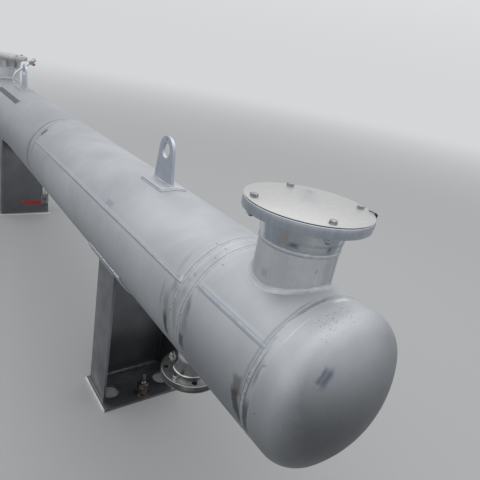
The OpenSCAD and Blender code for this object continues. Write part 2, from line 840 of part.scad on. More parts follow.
near_head();
far_head();
head_welds();
near_channel();
far_channel();
near_tubesheet();
far_tubesheet();
near_shell_course();
far_shell_course();
girth_band();
near_nozzle_neck();
near_nozzle_flange();
near_nozzle_cover();
near_cover_bolts();
far_nozzle_neck();
far_nozzle_flange();
far_nozzle_cover();
far_cover_bolts();
bottom_nozzle_neck();
bottom_nozzle_flange();
bottom_blind_flange();
bottom_flange_screws();
nozzle_welds();
near_saddle_base();
near_saddle_web();
near_saddle_wrapper();
far_saddle_base();
far_saddle_web();
far_saddle_wrapper();
levelling_bolts();
near_lug_pad();
near_lug();
far_lug_pad();
far_lug();
vent_riser();
vent_run_pipe();
vent_valve_body();
vent_valve_stem();
vent_lever();
vent_grip();
drain_pipe();
drain_valve_body();
drain_valve_stem();
drain_lever();
drain_grip();
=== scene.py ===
"""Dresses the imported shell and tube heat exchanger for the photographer's studio.

The vessel lies along X with its near head at +X. Sizes in the classes are millimetres in
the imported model's frame, as on a shop drawing, and the modelling helpers turn them to metres.
"""

import json
import logging
import math
from contextlib import contextmanager
from dataclasses import dataclass, field, replace
from enum import Enum
from typing import ClassVar, Iterator, Sequence

import bmesh
import bpy
from mathutils import Matrix, Vector

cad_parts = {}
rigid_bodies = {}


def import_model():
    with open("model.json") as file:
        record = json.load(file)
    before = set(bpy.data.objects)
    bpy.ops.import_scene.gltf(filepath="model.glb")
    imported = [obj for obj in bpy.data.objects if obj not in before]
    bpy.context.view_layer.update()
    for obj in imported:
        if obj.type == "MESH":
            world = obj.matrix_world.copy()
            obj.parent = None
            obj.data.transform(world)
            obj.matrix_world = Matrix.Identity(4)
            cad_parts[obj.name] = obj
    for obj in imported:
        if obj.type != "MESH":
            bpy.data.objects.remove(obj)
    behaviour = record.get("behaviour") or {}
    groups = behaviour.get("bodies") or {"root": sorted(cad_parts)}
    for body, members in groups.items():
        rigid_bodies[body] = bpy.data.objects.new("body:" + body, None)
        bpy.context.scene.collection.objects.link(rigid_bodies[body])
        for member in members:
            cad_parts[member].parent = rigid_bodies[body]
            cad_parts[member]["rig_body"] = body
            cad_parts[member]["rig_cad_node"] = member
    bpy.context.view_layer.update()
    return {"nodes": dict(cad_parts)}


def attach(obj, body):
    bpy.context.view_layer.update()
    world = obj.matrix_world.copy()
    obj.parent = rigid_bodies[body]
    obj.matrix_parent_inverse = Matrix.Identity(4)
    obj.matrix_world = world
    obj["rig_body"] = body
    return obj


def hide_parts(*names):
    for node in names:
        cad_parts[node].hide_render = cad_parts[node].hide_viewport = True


LOG = logging.getLogger("exchanger")
MM = 0.001
# Height of the vessel's axis and radius of its shell
AXIS_Z, SHELL_R = 800.0, 228.5
# Edges of a weld that are sharper than this many degrees stay crisp
WELD_ANGLE = 60
# Places of the girth welds along the axis, from the near head to the far one
NEAR_HEAD, NEAR_SHEET_OUT, NEAR_SHEET_IN = 973, 655, 600
BAND_NEAR, BAND_FAR = -1150, -1210
FAR_SHEET_IN, FAR_SHEET_OUT, FAR_HEAD = -2900, -2955, -3273
# Degrees from the crest to the long seams of the near channel and the near course
NEAR_SEAM, COURSE_SEAM = 56.2, 63.3
# Half sizes of marks that go all round the vessel, and all along it
ROUND, WHOLE = 3000, 9000
# Turns per metre that the ragged edge of a mark makes, about one in 14 mm
WANDER = 70.0
# Levels that most of a noise pattern lies between
NOISE_LOW, NOISE_HIGH = 0.3, 0.7
# Levels of the clouds at which the colour is all tint and all shade
CLOUD_LOW, CLOUD_HIGH = 0.36, 0.64

Point = tuple[float, float, float]
Station = tuple[float, float]
Span = tuple[str, float, float]
Object = bpy.types.Object
Tree = bpy.types.NodeTree
Socket = bpy.types.NodeSocket


class Axis(Enum):
    """Line that a piece is turned on."""

    X = (1.0, 0.0, 0.0)
    Z = (0.0, 0.0, 1.0)


class Cut(Enum):
    """What a cutter leaves of a piece."""

    OUTSIDE = "DIFFERENCE"
    INSIDE = "INTERSECT"


class Slot(Enum):
    """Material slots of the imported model's record."""

    BLASTED = "blasted_steel"
    WELD = "weld_steel"
    BAND = "band_steel"
    MACHINED = "machined_steel"
    COVER = "cover_steel"
    BOLT = "bolt_steel"
    SADDLE = "saddle_steel"
    VALVE = "valve_steel"
    GRIP = "red_grip"


# Modelling helpers


def take(obj: Object | None = None) -> None:
    """Deselects everything, then selects one object and makes it active.

    Args:
        obj: the object to work on, or None to leave nothing selected.
    """
    if bpy.context.object and bpy.context.object.mode != "OBJECT":
        bpy.ops.object.mode_set(mode="OBJECT")
    bpy.ops.object.select_all(action="DESELECT")
    if obj:
        obj.select_set(True)
        bpy.context.view_layer.objects.active = obj


@contextmanager
def editing(obj: Object, whole: bool = False) -> Iterator[None]:
    """Opens an object in edit mode and closes it again.

    Args:
        obj: the mesh to edit.
        whole: True selects all of it, False none.
    """
    take(obj)
    bpy.ops.object.mode_set(mode="EDIT")
    bpy.ops.mesh.select_mode(type="VERT")
    bpy.ops.mesh.select_all(action="SELECT" if whole else "DESELECT")
    yield
    bpy.ops.object.mode_set(mode="OBJECT")


def settle(obj: Object, name: str, angle: float = 28) -> Object:
    """Names a piece, fixes its place in its mesh, closes its seams and shades it.

    Args:
        obj: the new piece.
        name: its name in the outliner.
        angle: edges sharper than this many degrees stay crisp.

    Returns:
        The same object.
    """
    take(obj)
    obj.name = obj.data.name = name
    bpy.ops.object.transform_apply(location=True, rotation=True, scale=True)
    with editing(obj, whole=True):
        bpy.ops.mesh.remove_doubles(threshold=0.01 * MM)
        bpy.ops.mesh.normals_make_consistent(inside=False)
    take(obj)
    bpy.ops.object.shade_smooth_by_angle(angle=math.radians(angle))
    return obj


def modify(obj: Object, kind: str, **settings: object) -> None:
    """Adds a modifier, sets it up and applies it.

    Args:
        obj: the object to change.
        kind: the modifier's type.
        **settings: its properties.
    """
    take(obj)
    bpy.ops.object.modifier_add(type=kind)
    made = obj.modifiers[-1]
    for key, value in settings.items():
        setattr(made, key, value)
    bpy.ops.object.modifier_apply(modifier=made.name)


def soften(obj: Object, width: float) -> None:
    """Breaks the edges of a piece that are sharper than 40 degrees, as a stone does.

    Args:
        obj: the piece.
        width: width of the broken edge.
    """
    modify(obj, "BEVEL", width=width * MM, segments=2, limit_method="ANGLE",
           angle_limit=math.radians(40), use_clamp_overlap=True)


def laid(obj: Object, name: str, amount: float, seed: int) -> Object:
    """Moves the points of a weld a little, each its own way, then names and shades it.

    Args:
        obj: the weld, drawn smooth.
        name: its name in the outliner.
        amount: the farthest that a point moves.
        seed: number that makes the moves the same on each run.

    Returns:
        The same object.
    """
    if amount:
        with editing(obj, whole=True):
            bpy.ops.transform.vertex_random(offset=amount * MM, uniform=0.7, normal=0.6,
                                            seed=seed)
    return settle(obj, name, WELD_ANGLE)


def lathe(name: str, stations: Sequence[Station], centre: Point, axis: Axis = Axis.Z,
          steps: int = 40, ring: bool = False, sense: int = 1) -> Object:
    """Turns a piece: a circle is drawn out from station to station along an axis.

    Args:
        name: the piece's name.
        stations: (distance along the axis from the centre, radius) pairs. A last radius
            of 0 closes the piece at a pole.
        centre: the point that distances are measured from.
        axis: the line that it is turned on.
        steps: corners of the circle.
        ring: True joins the last station to the first, False closes both ends.
        sense: -1 measures the distances against the axis.

    Returns:
        The turned piece.
    """
    unit = Vector(axis.value) * sense
    turn = (0, math.pi / 2, 0) if axis is Axis.X else (0, 0, 0)
    middle = Vector(centre) * MM
    at, radius = stations[0]
    take()
    bpy.ops.mesh.primitive_circle_add(vertices=steps, radius=radius * MM, rotation=turn,
                                      location=middle + unit * at * MM)
    obj = bpy.context.object
    with editing(obj, whole=True):
        for far, size in list(stations[1:]) + (list(stations[:1]) if ring else []):
            bpy.ops.mesh.extrude_region_move(
                TRANSFORM_OT_translate={"value": unit * (far - at) * MM})
            if size == 0:
                bpy.ops.mesh.merge(type="CENTER")
                break
            if size != radius:
                grow = [1 if abs(part) > 0.5 else size / radius for part in unit]
                bpy.ops.transform.resize(value=grow,
                                         center_override=middle + unit * far * MM)
            at, radius = far, size
        if not ring:
            bpy.ops.mesh.select_all(action="SELECT")
            bpy.ops.mesh.fill_holes(sides=0)
    return settle(obj, name)


def hexagon(name: str, centre: Point, across: float, height: float, turn: float = 0,
            both: bool = False) -> Object:
    """Makes a hexagon head or nut whose corners are turned off to a cone.

    Args:
        name: the piece's name.
        centre: middle of its lower face.
        across: size over the flats.
        height: its height.
        turn: how far it is turned, in degrees.
        both: True turns off the lower corners too, as on a nut.

    Returns:
        The hexagon, along Z.
    """
    take()
    bpy.ops.mesh.primitive_cylinder_add(
        vertices=6, radius=across / math.sqrt(3) * MM, depth=height * MM,
        location=(centre[0] * MM, centre[1] * MM, (centre[2] + height / 2) * MM),
        rotation=(0, 0, math.radians(turn)))
    obj = settle(bpy.context.object, name)
    corner, drop, face = across / math.sqrt(3), across * 0.045, across * 0.47
    low = [(-0.1, face), (drop, corner + 0.1)] if both else [(-0.1, corner + 0.1)]
    cone = lathe("cone", low + [(height - drop, corner + 0.1), (height + 0.1, face)], centre,
                 steps=48)
    trim(obj, cone, Cut.INSIDE)
    return settle(obj, name)


def trim(obj: Object, tool: Object, leave: Cut = Cut.OUTSIDE) -> None:
    """Cuts a piece with another, which is then thrown away.

    Args:
        obj: the piece that stays.
        tool: the cutter.
        leave: which part of the piece stays.
    """
    modify(obj, "BOOLEAN", object=tool, operation=leave.value, solver="EXACT")
    take(tool)
    bpy.ops.object.delete()


def drilled(obj: Object, places: Sequence[Point], radius: float,
            depth: float) -> None:
    """Drills round holes down through a piece.

    Args:
        obj: the piece.
        places: top centres of the holes.
        radius: radius of each hole.
        depth: how far each hole goes down.
    """
    for x, y, z in places:
        trim(obj, lathe("drill", [(0, radius), (-depth, radius)], (x, y, z)))


def again(obj: Object, name: str, move: Point = (0, 0, 0), turn: float = 0,
          about: Point = (0, 0, 0)) -> Object:
    """Copies a finished piece to another place, with a mesh of its own.

    Args:
        obj: the piece to copy.
        name: the copy's name.
        move: how far the copy goes.
        turn: how far it turns round a vertical line, in degrees.
        about: a point on that line, before the move.

    Returns:
        The copy.
    """
    take(obj)
    bpy.ops.object.duplicate(linked=False)
    made = bpy.context.object
    made.name = made.data.name = name
    pivot = Matrix.Translation(Vector(about) * MM)
    made.matrix_world = (Matrix.Translation(Vector(move) * MM) @ pivot
                         @ Matrix.Rotation(math.radians(turn), 4, "Z") @ pivot.inverted())
    bpy.ops.object.transform_apply(location=True, rotation=True, scale=True)
    return made


def joined(name: str, parts: Sequence[Object]) -> Object:
    """Joins pieces that share a finish into one object.

    Args:
        name: the name of the whole.
        parts: the pieces.

    Returns:
        The joined object.
    """
    take(parts[0])
    for part in parts:
        part.select_set(True)
    bpy.ops.object.join()
    parts[0].name = parts[0].data.name = name
    return parts[0]


def bead(name: str, path: Sequence[Point], radius: float, closed: bool = False,
         ripple: float = 0.35, seed: int = 1) -> Object:
    """Lays a round weld bead, wire or rod along a path.

    Args:
        name: the piece's name.
        path: points of its centre line.
        radius: its radius.
        closed: True joins the last point to the first.
        ripple: unevenness of its surface.
        seed: number that makes the unevenness the same on each run.

    Returns:
        The bead as a mesh.
    """
    take()
    bpy.ops.curve.primitive_nurbs_path_add()
    obj = bpy.context.object
    curve = obj.data
    curve.splines.clear()
    spline = curve.splines.new("POLY")
    spline.points.add(len(path) - 1)
    for point, place in zip(spline.points, path):
        point.co = (*(Vector(place) * MM), 1)
    spline.use_cyclic_u = closed
    curve.bevel_depth, curve.bevel_resolution, curve.use_fill_caps = radius * MM, 3, True
    take(obj)
    bpy.ops.object.convert(target="MESH")
    return laid(settle(bpy.context.object, name, WELD_ANGLE), name, ripple, seed)


def over_shell(flat: Sequence[Station], radius: float, way: int = 1) -> list[Point]:
    """Lays a flat line on a cylinder round the vessel's axis.

    Args:
        flat: (x, y) points.
        radius: the cylinder's radius.
        way: 1 for its upper side, -1 for its lower side.

    Returns:
        The points in millimetres.
    """
    return [(x, y, AXIS_Z + way * math.sqrt(radius ** 2 - y ** 2)) for x, y in flat]


def drape(obj: Object, way: int) -> None:
    """Bends a ring drawn at the shell's crest down over the shell.

    Args:
        obj: the ring.
        way: 1 at the crest, -1 at the bottom.
    """
    with editing(obj):
        mesh = bmesh.from_edit_mesh(obj.data)
        for vert in mesh.verts:
            drop = SHELL_R - math.sqrt(SHELL_R ** 2 - (vert.co.y / MM) ** 2)
            vert.co.z -= way * drop * MM
        bmesh.update_edit_mesh(obj.data)


def on_shell(x: float, angle: float, radius: float) -> Point:
    """Gives a point on the vessel.

    Args:
        x: place along the axis.
        angle: degrees from the crest towards -Y.
        radius: distance from the axis.

    Returns:
        The point in millimetres.
    """
    turn = math.radians(angle)
    return (x, -radius * math.sin(turn), AXIS_Z + radius * math.cos(turn))


# Finishes


def linear(code: str) -> tuple[float, float, float, float]:
    """Turns an sRGB hex colour to the linear colour that a shader takes."""
    parts = [int(code[i:i + 2], 16) / 255 for i in (1, 3, 5)]
    return (*[p / 12.92 if p <= 0.04045 else ((p + 0.055) / 1.055) ** 2.4 for p in parts], 1.0)


def node(tree: Tree, kind: str, inputs: dict | None = None,
         **settings: object) -> bpy.types.Node:
    """Adds a shader node with its settings and links.

    Args:
        tree: the material's or world's nodes.
        kind: the node's type without its ShaderNode prefix.
        inputs: values or output sockets for its inputs, by name or number.
        **settings: the node's own properties.

    Returns:
        The new node.
    """
    made = tree.nodes.new("ShaderNode" + kind)
    for key, value in settings.items():
        setattr(made, key, value)
    for key, value in (inputs or {}).items():
        if isinstance(value, Socket):
            tree.links.new(value, made.inputs[key])
        else:
            made.inputs[key].default_value = value
    return made


class Lay(Enum):
    """Direction of rolling, brushing or turning marks, as the pattern's scale on each axis.

    TURNED goes round the finish's centre line, so its scale isn't used.
    """

    NONE = (1.0, 1.0, 1.0)
    ALONG_Y = (1.0, 0.012, 1.0)
    ALONG_Z = (1.0, 1.0, 0.03)
    ROUND_X = (1.0, 0.02, 0.02)
    TURNED = (0.0, 0.0, 1.0)


class Map(Enum):
    """Plane in which a mark is placed."""

    WRAPPED = "place along the axis, arc from the crest towards -Y"
    END = "y and height above the axis"
    SIDE = "place along the axis, height above the axis"
    TOP = "place along the axis, y"


@dataclass(frozen=True)
class Mark:
    """A stain, smudge, ground patch or scribed line on a surface.

    across and along are its half sizes, tilt turns it in degrees, ragged is how far its
    edge wanders, soft is the share of its size over which it fades, broken is the size of
    the flecks that it is broken into, or 0, and sparse says how few flecks are left.
    """

    u: float
    v: float
    across: float
    along: float
    colour: str
    strength: float
    ragged: float = 6
    soft: float = 0.35
    rough: float | None = None
    plane: Map = Map.WRAPPED
    tilt: float = 0
    broken: float = 0
    sparse: float = 0.6


@dataclass(frozen=True)
class Finish:
    """A metal or plastic surface with clouds, grain, working marks and stains.

    Args:
        name: what the material is, with how its surface was made.
        tint: colour of most of it.
        shade: colour of its darker clouds.
        metal: 1 for a bare metal, 0 for plastic.
        rough: its usual roughness.
        swing: how far the roughness varies.
        cloud: size of its clouds.
        grain: size of its grain, as drawn.
        depth: depth of its grain.
        lay: direction of its working marks.
        pitch: distance between working marks, as drawn.
        lines: strength of the working marks, 0 to 1.
        centre: a point on the axis that a turned surface goes round.
        scuff: strength of its curved handling marks, 0 to 1.
        marks: its stains and smudges.
    """

    name: str
    tint: str
    shade: str
    metal: float = 1.0
    rough: float = 0.5
    swing: float = 0.08
    cloud: float = 160
    grain: float = 3
    depth: float = 0.05
    lay: Lay = Lay.NONE
    pitch: float = 2
    lines: float = 0.0
    centre: Station = (0.0, 0.0)
    scuff: float = 0.0
    marks: tuple[Mark, ...] = ()

    def material(self) -> bpy.types.Material:
        """Gives the material, made once and then shared."""
        found = bpy.data.materials.get(self.name)
        return found if found else self.made()

    def between(self, where: str, start: float, end: float) -> "Finish":
        """Gives the same finish with only the marks that reach a stretch of the vessel.

        A material with about 95 marks renders black, so each plate has its own few.

        Args:
            where: name of the stretch.
            start: where it starts along the axis.
            end: where it ends.

        Returns:
            The finish for that stretch.
        """
        fade = 20
        kept = []
        for mark in self.marks:
            lean = math.radians(mark.tilt)
            reach = (mark.across * abs(math.cos(lean)) + mark.along * abs(math.sin(lean))
                     + fade)
            if start < mark.u + reach and mark.u - reach < end:
                kept.append(mark)
        return replace(self, name=f"{self.name}, {where}", marks=tuple(kept))

    def made(self) -> bpy.types.Material:
        """Builds the node tree.

        Returns:
            The new material.
        """
        made = bpy.data.materials.new(self.name)
        made.use_nodes = True
        tree = made.node_tree
        shader = tree.nodes["Principled BSDF"]
        place = node(tree, "TexCoord").outputs["Object"]
        cloud = node(tree, "TexNoise", {
            "Vector": place, "Scale": 1 / (self.cloud * MM), "Detail": 4.0,
            "Roughness": 0.55}).outputs["Fac"]
        fade = node(tree, "MapRange", {"Value": cloud, "From Min": CLOUD_LOW,
                                       "From Max": CLOUD_HIGH})
        colour = node(tree, "Mix", {0: fade.outputs[0], 6: linear(self.tint),
                                    7: linear(self.shade)}, data_type="RGBA").outputs[2]
        rough = node(tree, "MapRange", {
            "Value": cloud, "From Min": NOISE_LOW, "From Max": NOISE_HIGH,
            "To Min": self.rough - self.swing, "To Max": self.rough + self.swing}).outputs[0]
        height = node(tree, "TexNoise", {
            "Vector": place, "Scale": 1 / (self.grain * MM), "Detail": 2.0}).outputs["Fac"]
        if self.lines:
            streak = node(tree, "TexNoise", {
                "Vector": self.stretched(tree, place), "Scale": 1 / (self.pitch * MM),
                "Detail": 3.0, "Roughness": 0.7}).outputs["Fac"]
            colour = self.veined(tree, colour, streak)
            height = node(tree, "Math", {0: streak, 1: self.lines * 2, 2: height},
                          operation="MULTIPLY_ADD").outputs[0]
        if self.scuff:
            colour = self.scuffed(tree, place, colour)
        if self.marks:
            colour, rough = self.stained(tree, place, colour, rough)
        bump = node(tree, "Bump", {"Height": height, "Distance": self.depth * MM,
                                   "Strength": 0.6})
        tree.links.new(colour, shader.inputs["Base Color"])
        tree.links.new(rough, shader.inputs["Roughness"])
        tree.links.new(bump.outputs[0], shader.inputs["Normal"])
        shader.inputs["Metallic"].default_value = self.metal
        return made

    def stretched(self, tree: Tree,
                  place: Socket) -> Socket:
        """Stretches the pattern space along the lay of the working marks."""
        if self.lay is Lay.TURNED:
            flat = node(tree, "VectorMath", {
                0: place, 1: (-self.centre[0] * MM, -self.centre[1] * MM, 0)}, operation="ADD")
            split = node(tree, "SeparateXYZ", {0: flat.outputs[0]})
            ring = node(tree, "CombineXYZ", {0: split.outputs[0], 1: split.outputs[1]})
            far = node(tree, "VectorMath", {0: ring.outputs[0]}, operation="LENGTH")
            return node(tree, "CombineXYZ", {
                0: far.outputs["Value"], 1: split.outputs[2]}).outputs[0]
        return node(tree, "VectorMath", {0: place, 1: self.lay.value},
                    operation="MULTIPLY").outputs[0]

    def veined(self, tree: Tree, colour: Socket,
               streak: Socket) -> Socket:
        """Lets the working marks lighten and darken the colour."""
        level = node(tree, "MapRange", {
            "Value": streak, "From Min": NOISE_LOW, "From Max": NOISE_HIGH,
            "To Min": 1 - 0.35 * self.lines, "To Max": 1 + 0.2 * self.lines}).outputs[0]
        return node(tree, "VectorMath", {0: colour, "Scale": level},
                    operation="SCALE").outputs[0]

    def scuffed(self, tree: Tree, place: Socket,
                colour: Socket) -> Socket:
        """Draws the faint curved lines that slings and gloves leave on blasted plate.

        Args:
            tree: the material's nodes.
            place: the Object coordinates.
            colour: the colour so far.

        Returns:
            The colour with the lines.
        """
        for loop, width, code in ((130, 0.012, "#a4a9b2"), (75, 0.016, "#d2d4d6")):
            vein = node(tree, "TexNoise", {
                "Vector": place, "Scale": 1 / (loop * MM), "Detail": 1.5,
                "Distortion": 1.2}).outputs["Fac"]
            away = node(tree, "Math", {0: vein, 1: 0.5}, operation="SUBTRACT").outputs[0]
            away = node(tree, "Math", {0: away}, operation="ABSOLUTE").outputs[0]
            line = node(tree, "MapRange", {"Value": away, "From Min": 0.0, "From Max": width,
                                           "To Min": 1.0, "To Max": 0.0}).outputs[0]
            where = node(tree, "TexNoise", {"Vector": place, "Scale": 3.1 / (loop * MM) / 3,
                                            "Detail": 1.0}).outputs["Fac"]
            where = node(tree, "MapRange", {"Value": where, "From Min": 0.5, "From Max": 0.66,
                                            "To Max": self.scuff}).outputs[0]
            mask = node(tree, "Math", {0: line, 1: where}, operation="MULTIPLY").outputs[0]
            colour = node(tree, "Mix", {0: mask, 6: colour, 7: linear(code)},
                          data_type="RGBA").outputs[2]
        return colour

    def stained(self, tree: Tree, place: Socket,
                colour: Socket, rough: Socket,
                ) -> tuple[Socket, Socket]:
        """Lays the marks over the surface.

        Args:
            tree: the material's nodes.
            place: the Object coordinates.
            colour: the colour so far.
            rough: the roughness so far.

        Returns:
            Colour and roughness with the marks.
        """
        split = node(tree, "SeparateXYZ", {0: place})
        x, y, z = split.outputs
        rise = node(tree, "Math", {0: z, 1: AXIS_Z * MM}, operation="SUBTRACT").outputs[0]
        back = node(tree, "Math", {0: y, 1: -1.0}, operation="MULTIPLY").outputs[0]
        turn = node(tree, "Math", {0: back, 1: rise}, operation="ARCTAN2").outputs[0]
        girth = node(tree, "Math", {0: turn, 1: SHELL_R * MM}, operation="MULTIPLY").outputs[0]
        planes = {
            Map.WRAPPED: node(tree, "CombineXYZ", {0: x, 1: girth}).outputs[0],
            Map.END: node(tree, "CombineXYZ", {0: y, 1: rise}).outputs[0],
            Map.SIDE: node(tree, "CombineXYZ", {0: x, 1: rise}).outputs[0],
            Map.TOP: node(tree, "CombineXYZ", {0: x, 1: y}).outputs[0],
        }
        wander = node(tree, "TexNoise", {"Vector": place, "Scale": WANDER, "Detail": 5.0,
                                         "Roughness": 0.65})
        wander = node(tree, "VectorMath", {0: wander.outputs["Color"], 1: (-0.5, -0.5, -0.5)},
                      operation="ADD").outputs[0]
        for mark in self.marks:
            moved = node(tree, "VectorMath", {
                0: wander, 1: (mark.ragged * 2 * MM,) * 3, 2: planes[mark.plane]},
                operation="MULTIPLY_ADD").outputs[0]
            moved = node(tree, "Mapping", {
                "Vector": moved, "Location": (mark.u * MM, mark.v * MM, 0),
                "Rotation": (0, 0, math.radians(mark.tilt)),
                "Scale": (mark.across * MM, mark.along * MM, 1)},
                vector_type="TEXTURE").outputs[0]
            moved = node(tree, "VectorMath", {0: moved}, operation="ABSOLUTE").outputs[0]
            parts = node(tree, "SeparateXYZ", {0: moved}).outputs
            edge = node(tree, "Math", {0: parts[0], 1: parts[1]}, operation="MAXIMUM").outputs[0]
            mask = node(tree, "MapRange", {
                "Value": edge, "From Min": 1 - mark.soft, "From Max": 1 + mark.soft,
                "To Min": mark.strength, "To Max": 0.0},
                interpolation_type="SMOOTHSTEP").outputs[0]
            if mark.broken:
                fleck = node(tree, "TexNoise", {
                    "Vector": place, "Scale": 1 / (mark.broken * MM), "Detail": 2.0})
                fleck = node(tree, "MapRange", {
                    "Value": fleck.outputs["Fac"], "From Min": mark.sparse,
                    "From Max": mark.sparse + 0.05})
                mask = node(tree, "Math", {0: mask, 1: fleck.outputs[0]},
                            operation="MULTIPLY").outputs[0]
            mixed = node(tree, "Mix", {0: mask, 6: colour, 7: linear(mark.colour)},
                         data_type="RGBA")
            colour = mixed.outputs[2]
            if mark.rough is not None:
                rough = node(tree, "Mix", {0: mask, 2: rough, 3: mark.rough},
                             data_type="FLOAT").outputs[0]
        return colour, rough


def arc(angle: float) -> float:
    """Gives the arc length round the shell for an angle from the crest, in millimetres."""
    return math.radians(angle) * SHELL_R


def band(x: float, half: float, colour: str, strength: float, rough: float) -> Mark:
    """Gives a mark that goes all round the vessel at a place along its axis."""
    return Mark(x, 0, half, ROUND, colour, strength, ragged=1.5, soft=0.25, rough=rough)


def toes(x: float) -> tuple[Mark, ...]:
    """Gives the thin dark lines at both toes of a girth weld, and the pale band outside."""
    made = [band(x + side * 13, 6, "#c9cccf", 0.25, 0.55) for side in (-1, 1)]
    made += [Mark(x + side * 6, 0, 1.3, ROUND, "#757d89", force, 0.9, 0.5)
             for side, force in ((-1, 0.62), (1, 0.2))]
    return tuple(made)


def flecks(x: float, angle: float, spread: float) -> tuple[Mark, ...]:
    """Gives bright and dark flecks painted on a girth weld as highlights and shade of its
    ripples.
    """
    return tuple(Mark(x, arc(angle + more), 8, arc(spread), colour, strength, 2, 0.5,
                      broken=size, sparse=sparse)
                 for more, colour, strength, size, sparse in (
                     (0, "#dfe2e5", 0.45, 5, 0.56), (4, "#747b85", 0.6, 7, 0.57)))


def tick(x: float, angle: float) -> Mark:
    """Gives a short scribed line along the vessel."""
    return Mark(x, arc(angle), 5.5, 1.5, "#727e90", 0.7, ragged=1, soft=0.4)


def grime() -> tuple[Mark, ...]:
    """Gives the painted shade of the lower side: a dull grey that is darkest at the bottom."""
    return tuple(Mark(0, side * round(arc(180)), WHOLE, 285, "#84878b", 0.8, 12, 0.42)
                 for side in (-1, 1))


# Painted highlight and shade flecks on the welds of the near tubesheet and head
SHEET_FLECKS = flecks(NEAR_SHEET_IN, 84, 24) + flecks(NEAR_SHEET_OUT, 86, 26)
HEAD_FLECKS = flecks(NEAR_HEAD, 88, 20)
# Rougher patch behind the near nozzle, on the channel and the head, whose paler colour is
# painted light that lifts the shade under the flange
PALE_TOP = Mark(985, arc(8), 70, arc(30), "#dcdfe1", 0.65, 14, 0.6, 0.85)
# Marks of the photograph, by place along the axis and arc from the crest towards -Y.
# Stains, painted highlight and shade flecks, and scribed lines beside the welds of the near
# tubesheet and the near head, with painted light behind the nozzle and painted shade low down
TUBESHEET_MARKS = toes(NEAR_SHEET_IN) + toes(NEAR_SHEET_OUT) + (
    Mark(532, arc(82), 3.5, arc(10), "#8f9398", 0.6, 3, 0.6, tilt=-6),
    Mark(570, arc(87), 12, arc(9), "#8d8a8b", 0.6, 10, 0.9, tilt=-18),
    Mark(573, arc(102), 11, arc(9), "#34373b", 0.85, 6, 0.5, tilt=-4),
    Mark(577, arc(67), 11, arc(5.5), "#8c94a0", 0.6, 9, 0.8, tilt=-12),
    Mark(554, arc(50), 6, arc(7), "#a2a9b3", 0.45, 7, 0.8, tilt=-8),
    Mark(588, arc(61.5), 8, arc(3), "#dfe2e4", 0.55, 4, 0.7),
    Mark(621, arc(85), 10, arc(10), "#908c8d", 0.5, 9, 0.9, tilt=-18),
    Mark(626, arc(52), 7, 3, "#838e9e", 0.6, 3, 0.8, tilt=18),
    Mark(619, arc(57.5), 7, 5, "#98a1ad", 0.5, 4, 0.9, tilt=18),
    Mark(626, arc(66), 7, 8, "#9aa2ad", 0.5, 5, 0.9),
    Mark(670, arc(71), 8, arc(5.5), "#79818b", 0.65, 8, 0.8, tilt=-26),
    Mark(677, arc(81), 10, arc(7.5), "#8d8a8b", 0.55, 9, 0.9, tilt=-16),
    Mark(668, arc(101), 15, arc(6), "#34373b", 0.8, 7, 0.5),
) + SHEET_FLECKS + (
    tick(583, 23), tick(624, 22.4), tick(634, 33.2), tick(676, 33.7),
    tick(677, -12), tick(583, -9), tick(622, -38), tick(678, -44),
)
HEAD_MARKS = toes(NEAR_HEAD) + HEAD_FLECKS + (
    Mark(971.5, arc(38), 1.8, arc(20), "#6f7c90", 0.75, 1.5, 0.5),
    PALE_TOP,
    Mark(945, arc(87), 15, arc(6), "#857e7c", 0.8, 7, 0.4, tilt=-19),
    Mark(946, arc(99), 13, arc(9), "#2e3237", 0.85, 8, 0.4, tilt=-14),
    Mark(960, arc(108), 8, arc(6), "#2e3237", 0.8, 6, 0.5, tilt=-14),
    Mark(958, arc(64), 4, arc(20), "#8b9098", 0.5, 3, 0.6),
    Mark(960, arc(30), 3, arc(14), "#8f959d", 0.45, 3, 0.6),
    # Painted shade, darker on the lower side of the near channel
    Mark(815, arc(120), 210, arc(34), "#74777b", 0.5, 12, 0.7),
)
# Pale bands above the two long seams that show, painted as highlight, and their dark toe
# lines, the lower one darker as painted shade
SEAM_MARKS = (
    Mark(-275, arc(COURSE_SEAM - 2.6), 868, 5, "#cfd2d5", 0.4, 2, 0.5),
    Mark(-275, arc(COURSE_SEAM + 1.3), 868, 1.3, "#747d8b", 0.75, 0.8, 0.5),
    Mark(815, arc(NEAR_SEAM - 2.8), 150, 6, "#cfd2d5", 0.4, 2, 0.5),
    Mark(815, arc(NEAR_SEAM - 1.7), 150, 1.2, "#8a929e", 0.5, 0.8, 0.5),
    Mark(815, arc(NEAR_SEAM + 1.7), 150, 1.5, "#7d8693", 0.65, 0.8, 0.5),
)
# Dark lines drawn beside the welds of the ring between the courses
FAR_LINES = (
    Mark(-1213, arc(64), 5, arc(54), "#4d5664", 0.85, 3, 0.5),
    Mark(-1199, arc(64), 3, arc(54), "#5d6673", 0.75, 2, 0.5),
    Mark(-1153, arc(62), 3, arc(50), "#5d6673", 0.7, 2, 0.5),
)
# Strip, stains and duller tone of the far course
FAR_MARKS = toes(BAND_NEAR) + toes(BAND_FAR) + toes(FAR_SHEET_IN) + FAR_LINES + (
    # Painted shade, darker on the lower side of the far course
    Mark(-2000, arc(112), 900, arc(34), "#74777b", 0.5, 12, 0.7),
    Mark(-2400, 0, 1190, ROUND, "#9a9ea4", 0.4, 2, 0.01),
    Mark(-1150, 0, 380, ROUND, "#a2a6ac", 0.3, 2, 0.6),
    Mark(-2300, arc(36.2), 345, arc(4.8), "#585c67", 0.92, 4, 0.06, 0.5),
    Mark(-1121, arc(45.5), 15, arc(5.5), "#5f656e", 0.95, 6, 0.6),
    Mark(-1134, arc(60), 8, arc(24), "#8a9098", 0.5, 4, 0.5),
    Mark(-1226, arc(88), 8, arc(24), "#6f757e", 0.6, 5, 0.6),
    Mark(-20, arc(56), 28, arc(2.9), "#98a1ad", 0.55, 5, 0.4),
    Mark(-2880, arc(80), 9, arc(22), "#77736f", 0.6, 6, 0.4),
    Mark(-2395, arc(11.5), 95, 2.5, "#6a7078", 0.6, 2, 0.4),
)
